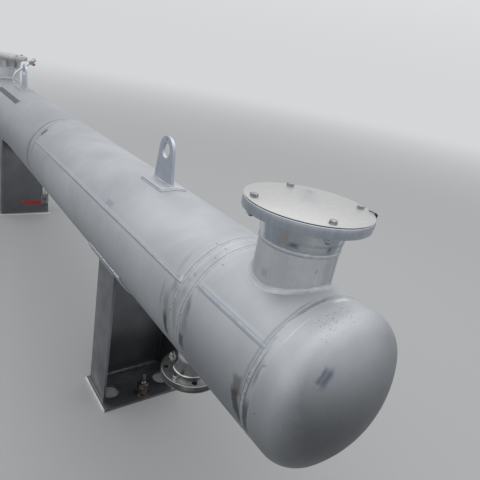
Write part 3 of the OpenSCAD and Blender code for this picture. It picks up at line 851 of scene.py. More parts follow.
# Cloudy smears that gloves and slings leave beside the nozzle and the lug
SMEARS = (
    Mark(300, arc(47), 190, arc(22), "#cfd2d6", 0.45, 16, 0.9),
    Mark(385, arc(44), 9, 95, "#a4aab3", 0.09, 16, 0.8, tilt=35),
    Mark(430, arc(36), 7, 110, "#a4aab3", 0.11, 16, 0.8, tilt=33),
    Mark(462, arc(44), 12, 70, "#d2d5d7", 0.1, 16, 0.8, tilt=35),
    Mark(500, arc(34), 8, 80, "#a4aab3", 0.11, 14, 0.8, tilt=30),
    Mark(330, arc(18), 9, 70, "#a6abb3", 0.09, 16, 0.8, tilt=55),
    Mark(548, arc(36), 8, 75, "#a3a9b1", 0.1, 9, 0.8),
    Mark(120, arc(30), 6, 70, "#cdd0d3", 0.11, 14, 0.8, tilt=40),
    Mark(-300, arc(25), 10, 120, "#a8adb5", 0.12, 16, 0.8, tilt=60),
    Mark(-700, arc(15), 8, 110, "#a8adb5", 0.12, 16, 0.8, tilt=48),
)

# Cloud, grain and pitch are millimetres. One pixel of the photograph covers about 3 mm of the
# near head and 8 mm of the far one, so a finer pattern is drawn coarser, as is said where it is.

# Stainless plate, rolled and then shot-blasted: an even satin grey, slightly blue, whose
# dimples are too small for a highlight to keep its edge. Real dimples are 0.3 mm; they are
# drawn at 2.5 mm so that they show.
BLASTED = Finish(
    "blasted stainless plate", "#bec1c5", "#b5b8bc", rough=0.6, swing=0.04, cloud=210,
    grain=2.5, depth=0.05, lay=Lay.ROUND_X, pitch=9, lines=0.06, scuff=0.08,
    marks=grime() + SEAM_MARKS + SMEARS + TUBESHEET_MARKS + HEAD_MARKS + FAR_MARKS)
CLEAN = replace(
    BLASTED, name="blasted stainless plate, small pieces", tint="#c4c7cb", shade="#bcbfc3",
    marks=grime() + (
        Mark(-2450, 0, 400, ROUND, "#9a9ea4", 0.5, 2, 0.02),
        Mark(-2400, -57, 80, 3.5, "#5c6675", 0.75, 1, 0.4, plane=Map.TOP),
        Mark(-56.5, 225, 2.5, 6, "#8a93a0", 0.6, 0.5, 0.3, plane=Map.END)))
# The same plate pressed to a dished head, with chain marks and pricks; painted shade on its
# lower side, its crown and its +Y flank, painted light behind the nozzle and painted highlights
# by the weld.
PRESSED = Finish(
    "blasted stainless dished head", "#bfc2c6", "#b7babe", rough=0.5, swing=0.04, cloud=120,
    grain=2.5, depth=0.05, lay=Lay.ROUND_X, pitch=11, lines=0.05,
    marks=(
        PALE_TOP,
        # Painted shade, darker towards the bottom of the head
        Mark(0, -430, WHOLE, 400, "#7a7d80", 0.82, 12, 0.37, plane=Map.END),
        Mark(-3400, 0, 400, ROUND, "#9a9ea4", 0.4, 2, 0.01),
        # Painted shade on the middle of the crown and on the +Y flank
        Mark(1150, -120, 60, 220, "#3f4245", 0.7, 8, 0.6, plane=Map.SIDE),
        Mark(200, 0, 140, 400, "#7e8286", 0.3, 12, 0.7, plane=Map.END),
        band(992, 10, "#c9ccd0", 0.3, 0.56),
        # Painted highlights: a white spot and a thin bright line by the weld
        Mark(989, arc(-3), 5, arc(6), "#eef0f1", 0.8, 4, 0.6, 0.52),
        Mark(1000, arc(36), 1.3, arc(10), "#e4e7e9", 0.55, 1.5, 0.5),
        Mark(980, arc(76), 2.5, arc(17), "#717988", 0.6, 2, 0.5),
        Mark(-127, 121, 12, 21, "#7f8692", 0.85, 7, 0.45, 0.45, Map.END, -36),
        Mark(-136, 122, 2.5, 19, "#69707c", 0.6, 5, 0.7, 0.4, Map.END, -36),
        Mark(-125, 120, 2.5, 21, "#69707c", 0.6, 5, 0.7, 0.4, Map.END, -36),
        Mark(-117, 125, 2.5, 17, "#69707c", 0.6, 5, 0.7, 0.4, Map.END, -36),
        Mark(-148, 106, 9, 4, "#a8adb5", 0.5, 5, 0.7, 0.45, Map.END, -20),
        Mark(1040, arc(15), 30, arc(16), "#43474c", 0.9, 10, 0.4, broken=3.6, sparse=0.645),
        Mark(1036, arc(12), 28, arc(14), "#7f848b", 0.6, 10, 0.5, broken=7, sparse=0.65),
        Mark(-176, 60, 1.5, 13, "#85898e", 0.4, 3, 0.6, None, Map.END, -12),
        Mark(989, arc(71), 4, arc(6), "#78808e", 0.55, 5, 0.8, tilt=-4),
        Mark(995, arc(64.4), 6, 1.8, "#727a88", 0.55, 2, 0.7, tilt=-45),
        Mark(988, arc(104), 9, arc(13), "#43484c", 0.75, 4, 0.5),
        Mark(1022, arc(92), 2, 2, "#4b4f55", 0.7, 1, 0.4),
    ))
# Plate ground flush between two girth welds: a little bluer, with heat tint left at its
# edges. The scratches of an 80 grit belt, 0.2 mm apart, are drawn at 3 mm.
GROUND_RING = Finish(
    "ground stainless ring", "#bcbfc3", "#adb0b5", rough=0.52, swing=0.06, cloud=70,
    grain=2.5, depth=0.04, lay=Lay.ROUND_X, pitch=3, lines=0.15,
    marks=grime() + TUBESHEET_MARKS + FAR_MARKS)
# Weld metal, pickled: brighter than the plate, rippled every 2 mm, drawn at 4 mm.
WELD = Finish(
    "pickled stainless weld", "#c0c3c7", "#b2b6bb", rough=0.5, swing=0.06, cloud=22,
    grain=4, depth=0.15, marks=grime() + SHEET_FLECKS + HEAD_FLECKS + FAR_LINES)
PLAIN_WELD = replace(WELD, name="pickled stainless weld, small", marks=grime())
# The long seams, dulled by the rolls: a little bluer than the plate.
SEAM_WELD = Finish(
    "rolled stainless seam", "#b3b9c1", "#a8afb9", rough=0.5, swing=0.06, cloud=40,
    grain=4, depth=0.1, marks=grime())
# Fillet welds of the nozzles, blasted with the plate: its tone, a little paler.
FILLET = Finish(
    "blasted stainless fillet weld", "#cbcdd0", "#bec2c6", rough=0.56, swing=0.04, cloud=30,
    grain=4, depth=0.15)
# Seamless pipe as drawn: smoother than the plate, streaked along its length. Die lines are
# 0.5 mm apart; they are drawn at 7 mm.
PIPE = Finish(
    "drawn stainless pipe", "#cfd1d4", "#c3c6ca", rough=0.5, swing=0.06, cloud=90,
    grain=2, depth=0.03, lay=Lay.ALONG_Z, pitch=7, lines=0.14, marks=(
        Mark(827, 240, 11, 10, "#98a3b2", 0.4, 3, 0.5, plane=Map.SIDE),
        Mark(-29, 280, 2, 6, "#7f8794", 0.5, 2, 0.6, plane=Map.END, tilt=-14),
        # Painted reflections: upright dark and pale bands on the nozzle necks
        Mark(12, 280, 16, 70, "#a8aeb6", 0.4, 6, 0.8, plane=Map.END),
        Mark(38, 280, 6, 70, "#98a2b0", 0.6, 6, 0.6, plane=Map.END),
        Mark(56, 280, 5, 70, "#e6e8ea", 0.5, 5, 0.6, plane=Map.END)))
# Forged flange, turned all over: dark, with clear reflections that its fine rings, 0.2 mm
# apart, draw out to soft upright streaks. The rings don't show; the streaks are 16 mm wide.
TURNED = Finish(
    "turned stainless forging", "#b4bac2", "#a3aab3", rough=0.28, swing=0.05, cloud=90,
    grain=6, depth=0.01, lay=Lay.ALONG_Z, pitch=16, lines=0.3, marks=(
        # Painted highlight along the edge of the face
        Mark(819, 418.2, WHOLE, 1.5, "#f0f2f4", 0.7, 0.2, 0.3, 0.25, Map.SIDE),
        # Painted highlight on the hub
        Mark(784, 350, 13, 30, "#eef0f2", 0.7, 5, 0.6, plane=Map.SIDE),
        Mark(864, 354, 12, 22, "#a8927f", 0.4, 8, 0.9, plane=Map.SIDE),
        # Painted reflections: dark and pale patches and a dark band on the hub
        Mark(-90, 340, 6, 6, "#55565a", 0.7, 4, 0.7, plane=Map.END),
        Mark(-48, 352, 26, 20, "#d2d3d4", 0.5, 8, 0.7, plane=Map.END),
        Mark(-11, 340, 5, 6, "#5b5c60", 0.65, 4, 0.7, plane=Map.END),
        Mark(24, 352, 7, 26, "#e4e6e8", 0.6, 4, 0.6, plane=Map.END),
        Mark(0, 346, 70, 3.5, "#85898f", 0.4, 3, 0.6, plane=Map.END)))
# The far one: neutral grey, with the painted highlight along its face's edge and painted
# reflections as upright dark and pale bands on its hub.
FAR_TURNED = replace(TURNED, name="rain-streaked stainless forging", tint="#cbcbca",
                     shade="#a9aaac", rough=0.42, lines=0.35, marks=TURNED.marks[:1] + (
                         Mark(-74, 345, 7, 30, "#6d6f73", 0.6, 4, 0.6, plane=Map.END),
                         Mark(-38, 345, 9, 30, "#e8e9ea", 0.5, 4, 0.6, plane=Map.END),
                         Mark(-8, 345, 7, 30, "#75777b", 0.55, 4, 0.6, plane=Map.END),
                         Mark(58, 345, 12, 30, "#5f6165", 0.65, 4, 0.6, plane=Map.END)))
# The bottom flange, turned and left outside: grey with a green cast, painted shade on its hub
# and the side of its rim, painted highlights along its edges, fine rings 0.2 mm apart, drawn at
# 1.2 mm.
AGED_TURNED = Finish(
    "weathered stainless forging", "#8f9592", "#7b8280", rough=0.3, swing=0.08, cloud=40,
    grain=5, depth=0.01, lay=Lay.TURNED, pitch=1.2, lines=0.25, centre=(437, 0), marks=(
        # Painted shade on the hub
        Mark(437, -340, 90, 33, "#757677", 0.85, 2, 0.1, plane=Map.SIDE),
        # Painted shade on the side of the rim
        Mark(437, -392, WHOLE, 14, "#545b59", 0.9, 1, 0.08, 0.5, Map.SIDE),
        # Painted highlights on the rim's chamfer and the hub's fillet
        Mark(437, -377.2, WHOLE, 1.4, "#f4f3f0", 0.9, 0.2, 0.3, 0.25, Map.SIDE),
        Mark(437, -372.5, WHOLE, 2.2, "#f4f3f0", 0.8, 0.4, 0.4, 0.3, Map.SIDE),
        Mark(572, -68, 44, 26, "#c8c0b8", 0.75, 6, 0.6, 0.42, Map.TOP, 40),
        Mark(445, -94, 7, 3, "#f4f3f0", 0.9, 1, 0.5, 0.3, Map.TOP, 20),
        Mark(604, -14, 3, 7, "#f4f3f0", 0.9, 1, 0.5, 0.3, Map.TOP, 20)))
# Blank plate under it: dull and dark.
DULL_PLATE = Finish(
    "dull stainless blank", "#6f7573", "#5d6361", rough=0.45, swing=0.08, cloud=40,
    grain=2, depth=0.03)
# Cold-rolled sheet for the blank cover, brushed in one direction: warm and bright. Its
# scratches are 0.2 mm apart; they are drawn at 3.2 mm.
BRUSHED = Finish(
    "brushed stainless sheet", "#babab8", "#b5b5b4", rough=0.5, swing=0.05, cloud=130,
    grain=2, depth=0.02, lay=Lay.ALONG_Y, pitch=3.2, lines=0.2, marks=(
        # Painted highlight along the cover's edge
        Mark(819, 421.6, WHOLE, 1.2, "#f6f7f8", 0.8, 0.1, 0.3, 0.3, Map.SIDE),
        Mark(768, 45, 20, 62, "#a9adb2", 0.5, 9, 0.8, plane=Map.TOP, tilt=48),
        Mark(735, 82, 9, 18, "#9aa0a7", 0.45, 5, 0.6, plane=Map.TOP, tilt=48)))
# Bolts, nuts and studs: bright rolled steel with dark rings of dirt.
BOLT = Finish(
    "rolled stainless fastener", "#babbbd", "#94969a", rough=0.32, swing=0.1, cloud=14,
    grain=1.5, depth=0.05)
# Socket screws, plated: brighter than the bolts.
SCREW = Finish(
    "plated socket screw", "#c6c4c1", "#a6a29e", rough=0.36, swing=0.08, cloud=14,
    grain=1.5, depth=0.05)
# Mill-finished plate for saddles and lugs, folded and cut by laser: smooth, its grey darkened as
# painted shade of the webs, with cloudy handling marks. Its rolling lines are 0.5 mm apart; they
# are drawn at 4 mm.
MILL = Finish(
    "mill-finished stainless plate", "#8c8e91", "#7a7c80", rough=0.36, swing=0.08, cloud=110,
    grain=2, depth=0.02, lay=Lay.ALONG_Z, pitch=4, lines=0.12, marks=(
        # Painted shade on the faces of the near and far webs
        Mark(-102, -500, 13, 330, "#5f6264", 0.7, 3, 0.15, plane=Map.SIDE),
        Mark(-2328, -500, 13, 330, "#6f7275", 0.6, 3, 0.15, plane=Map.SIDE)))
# The same plate for the lugs, cut by laser and brushed lightly: paler and bluish, its
# scratches drawn at 3 mm.
MILL_FLAT = Finish(
    "brushed stainless lug plate", "#bfc5ce", "#b4bbc5", rough=0.42, swing=0.06, cloud=60,
    grain=2, depth=0.02, lay=Lay.ALONG_Z, pitch=3, lines=0.10)
# Base plate, walked on and dusty: darker and duller than the web, its lines drawn at 5 mm.
BASE_PLATE = Finish(
    "dusty stainless base plate", "#85868a", "#6f7074", rough=0.5, swing=0.1, cloud=45,
    grain=3, depth=0.04, lay=Lay.ALONG_Y, pitch=5, lines=0.2, marks=(
        # Painted highlights on the edges of the base plates
        Mark(-198.5, -793, 4.5, 16, "#fbfaf8", 0.95, 2, 0.4, 0.55, Map.END),
        Mark(-2307, -793, 5, 12, "#f8f8f6", 0.98, 2, 0.3, 0.5, Map.SIDE)))
# Fillet weld left as it was laid and wire-brushed: brighter than the pickled caps.
BRIGHT_WELD = Finish(
    "wire-brushed stainless weld", "#d3d6da", "#aab0b8", rough=0.3, swing=0.1, cloud=12,
    grain=4, depth=0.3)
# The same, darker and duller, as painted shade of the web.
STITCH = replace(BRIGHT_WELD, name="dusty stainless weld", tint="#a5a8ab", shade="#7d8184",
                 rough=0.42)
# Threaded stud and nuts, oiled: warm brown-grey with bright crests.
STUD = Finish(
    "oiled threaded stud", "#8c8881", "#484541", rough=0.36, swing=0.12, cloud=11,
    grain=1.5, depth=0.05)
# Small pipe, polished with a belt: bright, with clear soft reflections.
POLISHED_PIPE = Finish(
    "belt-polished stainless pipe", "#e0e1e2", "#c9cbcd", rough=0.24, swing=0.06, cloud=40,
    grain=2, depth=0.02)
# Investment-cast valve body, polished by tumbling: bright and slightly wavy.
CAST = Finish(
    "tumbled stainless casting", "#c2c3c4", "#95979a", rough=0.22, swing=0.08, cloud=16,
    grain=4, depth=0.12)
# The same, darker, for the valve under the vessel.
DIRTY_CAST = replace(CAST, name="dirty stainless casting", tint="#85878a", shade="#4b4d51",
                     rough=0.28)
# Dipped vinyl lever sleeve: soft red plastic with a dull shine.
SLEEVE = Finish(
    "dipped red vinyl", "#a32431", "#8d1d2a", metal=0.0, rough=0.42, swing=0.08, cloud=20,
    grain=1.5, depth=0.06)
# Fibre gasket sheet, seen as a dark line under the cover.
GASKET = Finish(
    "dark fibre gasket", "#34363a", "#2a2c30", metal=0.0, rough=0.8, swing=0.05, cloud=15,
    grain=1, depth=0.05)


# Sub-assemblies


@dataclass
class Piece:
    """A finished mesh with its surface, its slot, its body and the imported nodes it stands for.
    """

    obj: Object
    finish: Finish
    slot: Slot
    body: str
    nodes: tuple[str, ...]


@dataclass
class SubAssembly:
    """Keeps the pieces that a sub-assembly builds until they are dressed."""

    packed: ClassVar[dict[str, Object]] = {}
    pieces: list[Piece] = field(default_factory=list, init=False)

    def keep(self, obj: Object, finish: Finish, slot: Slot, *nodes: str,
             body: str = "vessel") -> None:
        """Adds a finished piece.

        Args:
            obj: the piece.
            finish: its surface.
            slot: the record's material slot.
            *nodes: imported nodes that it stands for.
            body: the body that it moves with.
        """
        self.pieces.append(Piece(obj, finish, slot, body, nodes))

    def refined(self, name: str, finish: Finish, slot: Slot, edge: float,
                body: str = "vessel") -> None:
        """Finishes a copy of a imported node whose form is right: edges broken, shaded smooth.

        Args:
            name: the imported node.
            finish: its surface.
            slot: the record's material slot.
            edge: width of its broken edges.
            body: the body that it moves with.
        """
        take(self.packed[name])
        bpy.ops.object.duplicate(linked=False)
        obj = bpy.context.object
        bpy.ops.object.parent_clear(type="CLEAR_KEEP_TRANSFORM")
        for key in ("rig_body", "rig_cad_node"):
            if key in obj:
                del obj[key]
        obj.data.materials.clear()
        with editing(obj, whole=True):
            bpy.ops.mesh.customdata_custom_splitnormals_clear()
            bpy.ops.mesh.remove_doubles(threshold=0.005 * MM)
            bpy.ops.mesh.dissolve_limited(angle_limit=math.radians(0.6))
        soften(obj, edge)
        self.keep(settle(obj, name + "_finished"), finish, slot, name, body=body)

    def build(self) -> None:
        """Builds the pieces; each sub-assembly has its own."""
        raise NotImplementedError

    def dress(self) -> None:
        """Gives each piece its finish and its body, and hides the imported nodes that it stands
        for.
        """
        for piece in self.pieces:
            obj = piece.obj
            obj.data.materials.clear()
            obj.data.materials.append(piece.finish.material())
            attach(obj, piece.body)
            if piece.nodes:
                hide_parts(*piece.nodes)
            LOG.info("%s: %d faces, %s", obj.name, len(obj.data.polygons), piece.finish.name)


@dataclass
class Barrels(SubAssembly):
    """Shell courses, channels, tubesheets and the ring between the courses.

    A seam is (name, start, end, degrees from the crest towards -Y, width). weld_root is how
    deep a weld goes into the plate, and weld_reach how far its marks are looked for.
    """

    wall: float = 8
    facets: int = 256
    plates: tuple[Span, ...] = (
        ("near_channel", NEAR_SHEET_OUT, NEAR_HEAD),
        ("near_shell_course", BAND_NEAR, NEAR_SHEET_IN),
        ("far_shell_course", FAR_SHEET_IN, BAND_FAR),
        ("far_channel", FAR_HEAD, FAR_SHEET_OUT))
    rings: tuple[Span, ...] = (
        ("near_tubesheet", NEAR_SHEET_IN, NEAR_SHEET_OUT),
        ("girth_band", BAND_FAR, BAND_NEAR),
        ("far_tubesheet", FAR_SHEET_OUT, FAR_SHEET_IN))
    welds: tuple[float, ...] = (NEAR_HEAD, NEAR_SHEET_OUT, NEAR_SHEET_IN, BAND_NEAR, BAND_FAR,
                                FAR_SHEET_IN, FAR_SHEET_OUT, FAR_HEAD)
    weld_w: float = 10
    weld_h: float = 0.4
    weld_root: float = 2
    weld_reach: float = 9
    weld_uneven: float = 0.3
    seams: tuple[tuple[str, float, float, float, float], ...] = (
        ("near_channel_seam", 659, 969, NEAR_SEAM, 12),
        ("near_course_seam", -1146, 596, COURSE_SEAM, 8),
        ("far_course_seam", -2896, -1214, -118, 8),
        ("far_channel_seam", -3269, -2959, -57.3, 12))
    seam_h: float = 1.4
    seam_uneven: float = 0.12
    seam_step: float = 5

    def build(self) -> None:
        """Rolls the barrels, then lays the girth welds and the long seams."""
        for span in self.plates:
            self.barrel(*span, BLASTED, Slot.BLASTED)
        for span in self.rings:
            self.barrel(*span, GROUND_RING, Slot.BAND)
        for seed, x in enumerate(self.welds):
            self.girth_weld(x, seed)
        for seed, seam in enumerate(self.seams):
            self.long_seam(*seam, seed)

    def barrel(self, name: str, start: float, end: float, finish: Finish, slot: Slot) -> None:
        """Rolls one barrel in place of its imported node.

        Args:
            name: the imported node.
            start: where the barrel starts along the axis.
            end: where it ends.
            finish: the surface from which it takes its stretch.
            slot: the record's material slot.
        """
        inner = SHELL_R - self.wall
        obj = lathe(name + "_plate",
                    [(start, SHELL_R), (end, SHELL_R), (end, inner), (start, inner)],
                    (0, 0, AXIS_Z), Axis.X, self.facets, True)
        self.keep(obj, finish.between(name.replace("_", " "), start, end), slot, name)

    def girth_weld(self, x: float, seed: int) -> None:
        """Lays one raised weld cap round the vessel.

        Args:
            x: its place along the axis.
            seed: number of its unevenness, one less than its own number.
        """
        name, half, base = f"girth_weld_{seed + 1}", self.weld_w / 2, SHELL_R - self.weld_root
        cap = [(x + half / 4 * k, SHELL_R + self.weld_h * (1 - (k / 4) ** 2))
               for k in range(-4, 5)]
        obj = lathe(name, cap + [(x + half, base), (x - half, base)], (0, 0, AXIS_Z), Axis.X,
                    300, True)
        stands = ("head_welds",) if x == NEAR_HEAD else ()
        finish = WELD.between(f"weld {seed + 1}", x - self.weld_reach, x + self.weld_reach)
        self.keep(laid(obj, name, self.weld_uneven, seed), finish, Slot.WELD, *stands)

    def long_seam(self, name: str, start: float, end: float, angle: float, width: float,
                  seed: int) -> None:
        """Lays one long seam: a thick rod sunk in the plate, of which a low cap shows.

        Args:
            name: the seam's name.
            start: where it starts along the axis.
            end: where it ends.
            angle: degrees from the crest towards -Y.
            width: width of the cap.
            seed: number of its unevenness.
        """
        rod = (width ** 2 / 4 + self.seam_h ** 2) / (2 * self.seam_h)
        count = int((end - start) / self.seam_step)
        path = [on_shell(start + (end - start) * k / count, angle,
                         SHELL_R + self.seam_h - rod) for k in range(count + 1)]
        self.keep(bead(name, path, rod, ripple=self.seam_uneven, seed=seed), SEAM_WELD,
                  Slot.WELD)


@dataclass
class DishedHeads(SubAssembly):
    """The two pressed heads: a straight flange, a knuckle and a crown."""

    straight: float = 60
    crown: float = 0.8 * 457
    knuckle: float = 0.154 * 457
    knuckle_steps: int = 20
    crown_steps: int = 30
    facets: int = 256

    def build(self) -> None:
        """Turns both heads from the same curve."""
        for name, x, sense, finish in (("near_head", NEAR_HEAD, 1, PRESSED),
                                       ("far_head", FAR_HEAD, -1, CLEAN)):
            obj = lathe(name + "_dish", self.curve(), (x, 0, AXIS_Z), Axis.X, self.facets,
                        False, sense)
            self.keep(obj, finish, Slot.BLASTED, name)

    def curve(self) -> list[Station]:
        """Gives the stations of the head from its weld to its pole."""
        inset = SHELL_R - self.knuckle
        spread = math.asin(inset / (self.crown - self.knuckle))
        drop = (self.crown - self.knuckle) * math.cos(spread)
        stations = [(0.0, SHELL_R), (self.straight / 2, SHELL_R)]
        for k in range(self.knuckle_steps + 1):
            turn = (math.pi / 2 - spread) * k / self.knuckle_steps
            stations.append((self.straight + self.knuckle * math.sin(turn),
                             inset + self.knuckle * math.cos(turn)))
        for k in range(1, self.crown_steps + 1):
            turn = spread * (1 - k / self.crown_steps)
            stations.append((self.straight + self.crown * math.cos(turn) - drop,
                             self.crown * math.sin(turn)))
        stations[-1] = (stations[-1][0], 0)
        return stations


@dataclass
class Nozzle(SubAssembly):
    """A pipe stub with a welding-neck flange, square to the vessel's axis.

    root is where the pipe starts inside the shell, measured from the axis as reach is, and
    the sizes from flats to washer_t are shares of the bolt's diameter.
    """

    side: str = "near"
    x: float = 819
    way: int = 1
    pipe_od: float = 219
    wall: float = 8
    root: float = 150
    reach: float = 419
    flange_od: float = 343
    flange_t: float = 28.6
    hub_od: float = 240
    hub_len: float = 101
    hub_fillet: float = 6
    hub_land: float = 8
    pcd: float = 298.5
    hole: float = 22.4
    bolt: float = 12.7
    flats: float = 1.5
    nut_h: float = 0.85
    nut_drop: float = 1.05
    washer_t: float = 0.2
    foot_leg: float = 9
    hub_weld_w: float = 11
    hub_weld_h: float = 1.9
    chamfer: float = 1.8
    metal: Finish = TURNED

    def turned(self, name: str, stations: Sequence[Station], steps: int = 160,
               ring: bool = True) -> Object:
        """Turns a piece on the nozzle's axis, its stations measured from the vessel's."""
        return lathe(f"{self.side}_{name}", stations, (self.x, 0, AXIS_Z), Axis.Z, steps, ring,
                     self.way)

    def build(self) -> None:
        """Builds the stub from the shell outwards."""
        r, foot = self.pipe_od / 2, self.reach - self.hub_len
        pipe = self.turned("nozzle_pipe", [
            (self.root, r), (foot, r), (foot, r - self.wall), (self.root, r - self.wall)])
        self.keep(pipe, PIPE, Slot.BLASTED, f"{self.side}_nozzle_neck")
        self.keep(self.hub_bead(foot, r), PLAIN_WELD, Slot.WELD)
        stands = ["nozzle_welds"] if self.side == "near" else []
        self.keep(self.foot_weld(r), FILLET, Slot.WELD, *stands)
        self.keep(self.flange(r), self.metal, Slot.MACHINED, f"{self.side}_nozzle_flange")

    def hole_ring(self, top: float) -> list[Point]:
        """Gives the centres of the flange's eight holes at a height."""
        return [(self.x + self.pcd / 2 * math.cos(a), self.pcd / 2 * math.sin(a), top)
                for a in (math.radians(22.5 + 45 * k) for k in range(8))]

    def flange(self, r: float) -> Object:
        """Turns and drills the welding-neck flange.

        Args:
            r: outside radius of the pipe.

        Returns:
            The flange.
        """
        face, rim, hub, t = self.reach, self.flange_od / 2, self.hub_od / 2, self.flange_t
        foot, c, f = face - self.hub_len, self.chamfer, self.hub_fillet
        quarter = (1.57, 1.05, 0.52, 0.0)
        fillet = [(face - t - f + f * math.sin(a), hub + f - f * math.cos(a)) for a in quarter]
        obj = self.turned("neck_flange", [
            (face, r - self.wall), (face, rim - c), (face - 0.3 * c, rim - 0.3 * c),
            (face - c, rim), (face - t + c, rim), (face - t + 0.3 * c, rim - 0.3 * c),
            (face - t, rim - c)] + fillet + [
            (foot + self.hub_land, r + 0.2), (foot, r), (foot, r - self.wall)], 192)
        top = AXIS_Z + (face + 5 if self.way > 0 else 20 + t - face)
        drilled(obj, self.hole_ring(top), self.hole / 2, t + 28)
        return settle(obj, f"{self.side}_neck_flange")

    def hub_bead(self, far: float, r: float) -> Object:
        """Lays the weld between the pipe and the hub."""
        half, high = self.hub_weld_w / 2, self.hub_weld_h
        cap = [(far + half / 5 * k, r + high * (1 - (k / 5) ** 2)) for k in range(-5, 6)]
        obj = self.turned("hub_weld", cap + [(far + half, r - 2), (far - half, r - 2)], 180)
        return laid(obj, f"{self.side}_hub_weld", 0.12, 11)

    def foot_weld(self, r: float) -> Object:
        """Lays the hollow fillet weld along the line where the pipe meets the shell.

        Args:
            r: outside radius of the pipe.

        Returns:
            The weld.
        """
        g, base = self.foot_leg, SHELL_R
        obj = self.turned("foot_weld", [
            (base - 3, r - 3), (base + g, r - 3), (base + g, r + 0.3), (base + g - 1, r + 1.2),
            (base + 0.62 * g, r + 0.2 * g), (base + 0.4 * g, r + 0.38 * g),
            (base + 0.22 * g, r + 0.6 * g), (base + 1.2, r + g - 1), (base + 0.3, r + g),
            (base - 3, r + g)], 240)
        drape(obj, self.way)
        return laid(obj, f"{self.side}_foot_weld", 0.4, 5)

    def around(self, one: Object, name: str, first: float, spins: Sequence[float]) -> Object:
        """Sets four copies of a bolt round the flange.

        Args:
            one: the bolt, in the hole at +X.
            name: the name of the set.
            first: angle of the first copy.
            spins: how far each copy is screwed round.

        Returns:
            The set as one object.
        """
        made = []
        for k, spin in enumerate(spins):
            spun = again(one, f"spun_{k}", turn=spin, about=(self.x + self.pcd / 2, 0, 0))
            made.append(again(spun, f"set_{k}", turn=first + 90 * k, about=(self.x, 0, 0)))
            take(spun)
            bpy.ops.object.delete()
        take(one)
        bpy.ops.object.delete()
        return joined(f"{self.side}_{name}", made)

    def nut(self, under: float, turn: float) -> Object:
        """Makes a nut below a washer whose upper face is at a height, turned by an angle."""
        d = self.bolt
        return hexagon("nut", (self.x + self.pcd / 2, 0, under - self.nut_drop * d),
                       self.flats * d, self.nut_h * d, turn, both=True)

    def washer(self, low: float) -> Object:
        """Turns a washer whose lower face is at a height."""
        r, high = 1.1 * self.bolt, low + self.washer_t * self.bolt
        return lathe("washer", [(low, r - 0.4), (low + 0.4, r), (high - 0.4, r),
                                (high, r - 0.4)], (self.x + self.pcd / 2, 0, 0))

    def shank(self, top: float, foot: float) -> Object:
        """Turns a bolt's shank between two heights, threaded at its foot."""
        r = self.bolt / 2
        thread = [(foot + 0.9 * k, r - (1.0 if k % 2 else 0.1)) for k in range(24)]
        return lathe("shank", [(foot - 0.8, r - 1.2)] + thread + [(top, r)],
                     (self.x + self.pcd / 2, 0, 0), steps=24)


@dataclass
class TopNozzle(Nozzle):
    """A top nozzle, closed by a sheet cover on a gasket, held by four bolts.

    head_h is a share of the bolt's diameter, as nut_h is.
    """

    gasket_t: float = 1.8
    gasket_bore: float = 120
    cover_t: float = 4
    head_h: float = 0.64
    first_bolt: float = -22.5

    def build(self) -> None:
        """Adds the gasket, the cover, its bolts and, at the near end, the wire tie."""
        super().build()
        rim, face, top = self.flange_od / 2, self.reach, self.reach + self.cover_t
        low, seat, bore = face + 0.1, face + self.gasket_t, self.gasket_bore / 2
        gasket = self.turned("gasket", [
            (low, rim - 3.2), (seat, rim - 3.2), (seat, bore), (low, bore)], 128)
        self.keep(gasket, GASKET, Slot.COVER)
        cover = self.turned("cover_plate", [
            (seat, rim - 0.5), (face + 2.1, rim - 0.1), (top - 0.6, rim - 0.1),
            (top - 0.2, rim - 0.3), (top, rim - 0.8)], 192, False)
        self.keep(cover, BRUSHED, Slot.COVER, f"{self.side}_nozzle_cover")
        self.keep(self.bolts(), BOLT, Slot.BOLT, f"{self.side}_cover_bolts")
        if self.side == "near":
            self.keep(self.tie(), GASKET, Slot.COVER)

    def bolts(self) -> Object:
        """Fits four bolts with their nuts, each head turned its own way."""
        top, d = AXIS_Z + self.reach + self.cover_t, self.bolt
        under = top - self.cover_t - self.flange_t
        head = hexagon("head", (self.x + self.pcd / 2, 0, top), self.flats * d, self.head_h * d)
        parts = [head, self.nut(under, 20), self.washer(under - self.washer_t * d),
                 self.shank(top + 1, under - 1.45 * d)]
        return self.around(joined("bolt", parts), "bolts", self.first_bolt, (0, 17, 41, 8))

    def tie(self) -> Object:
        """Bends the wire that ties the cover to the flange through a bolt hole."""
        face, t = AXIS_Z + self.reach, self.flange_t

        def at(angle: float, far: float, rise: float) -> Point:
            """Gives the place at an angle and distance from the nozzle axis."""
            return (self.x + far * math.cos(math.radians(angle)),
                    far * math.sin(math.radians(angle)), face + rise)

        wire = bead("tie", [
            at(61, 165, 5.6), at(58, 169, 5.8), at(55, 173, 6), at(52, 175.5, 5),
            at(50, 176, 1), at(48, 176, -7), at(46, 175.6, -16), at(44, 174, -t - 1),
            at(43, 168, -t - 2.6), at(42, 158, -t - 2.2)], 1.1, ripple=0)
        coil = bead("coil", [
            at(54 - 0.28 * k, 175.5 + 2.6 * math.cos(1.3 * k), 4.6 + 2.6 * math.sin(1.3 * k))
            for k in range(20)], 1.2, ripple=0)
        return joined(f"{self.side}_cover_tie", [wire, coil])


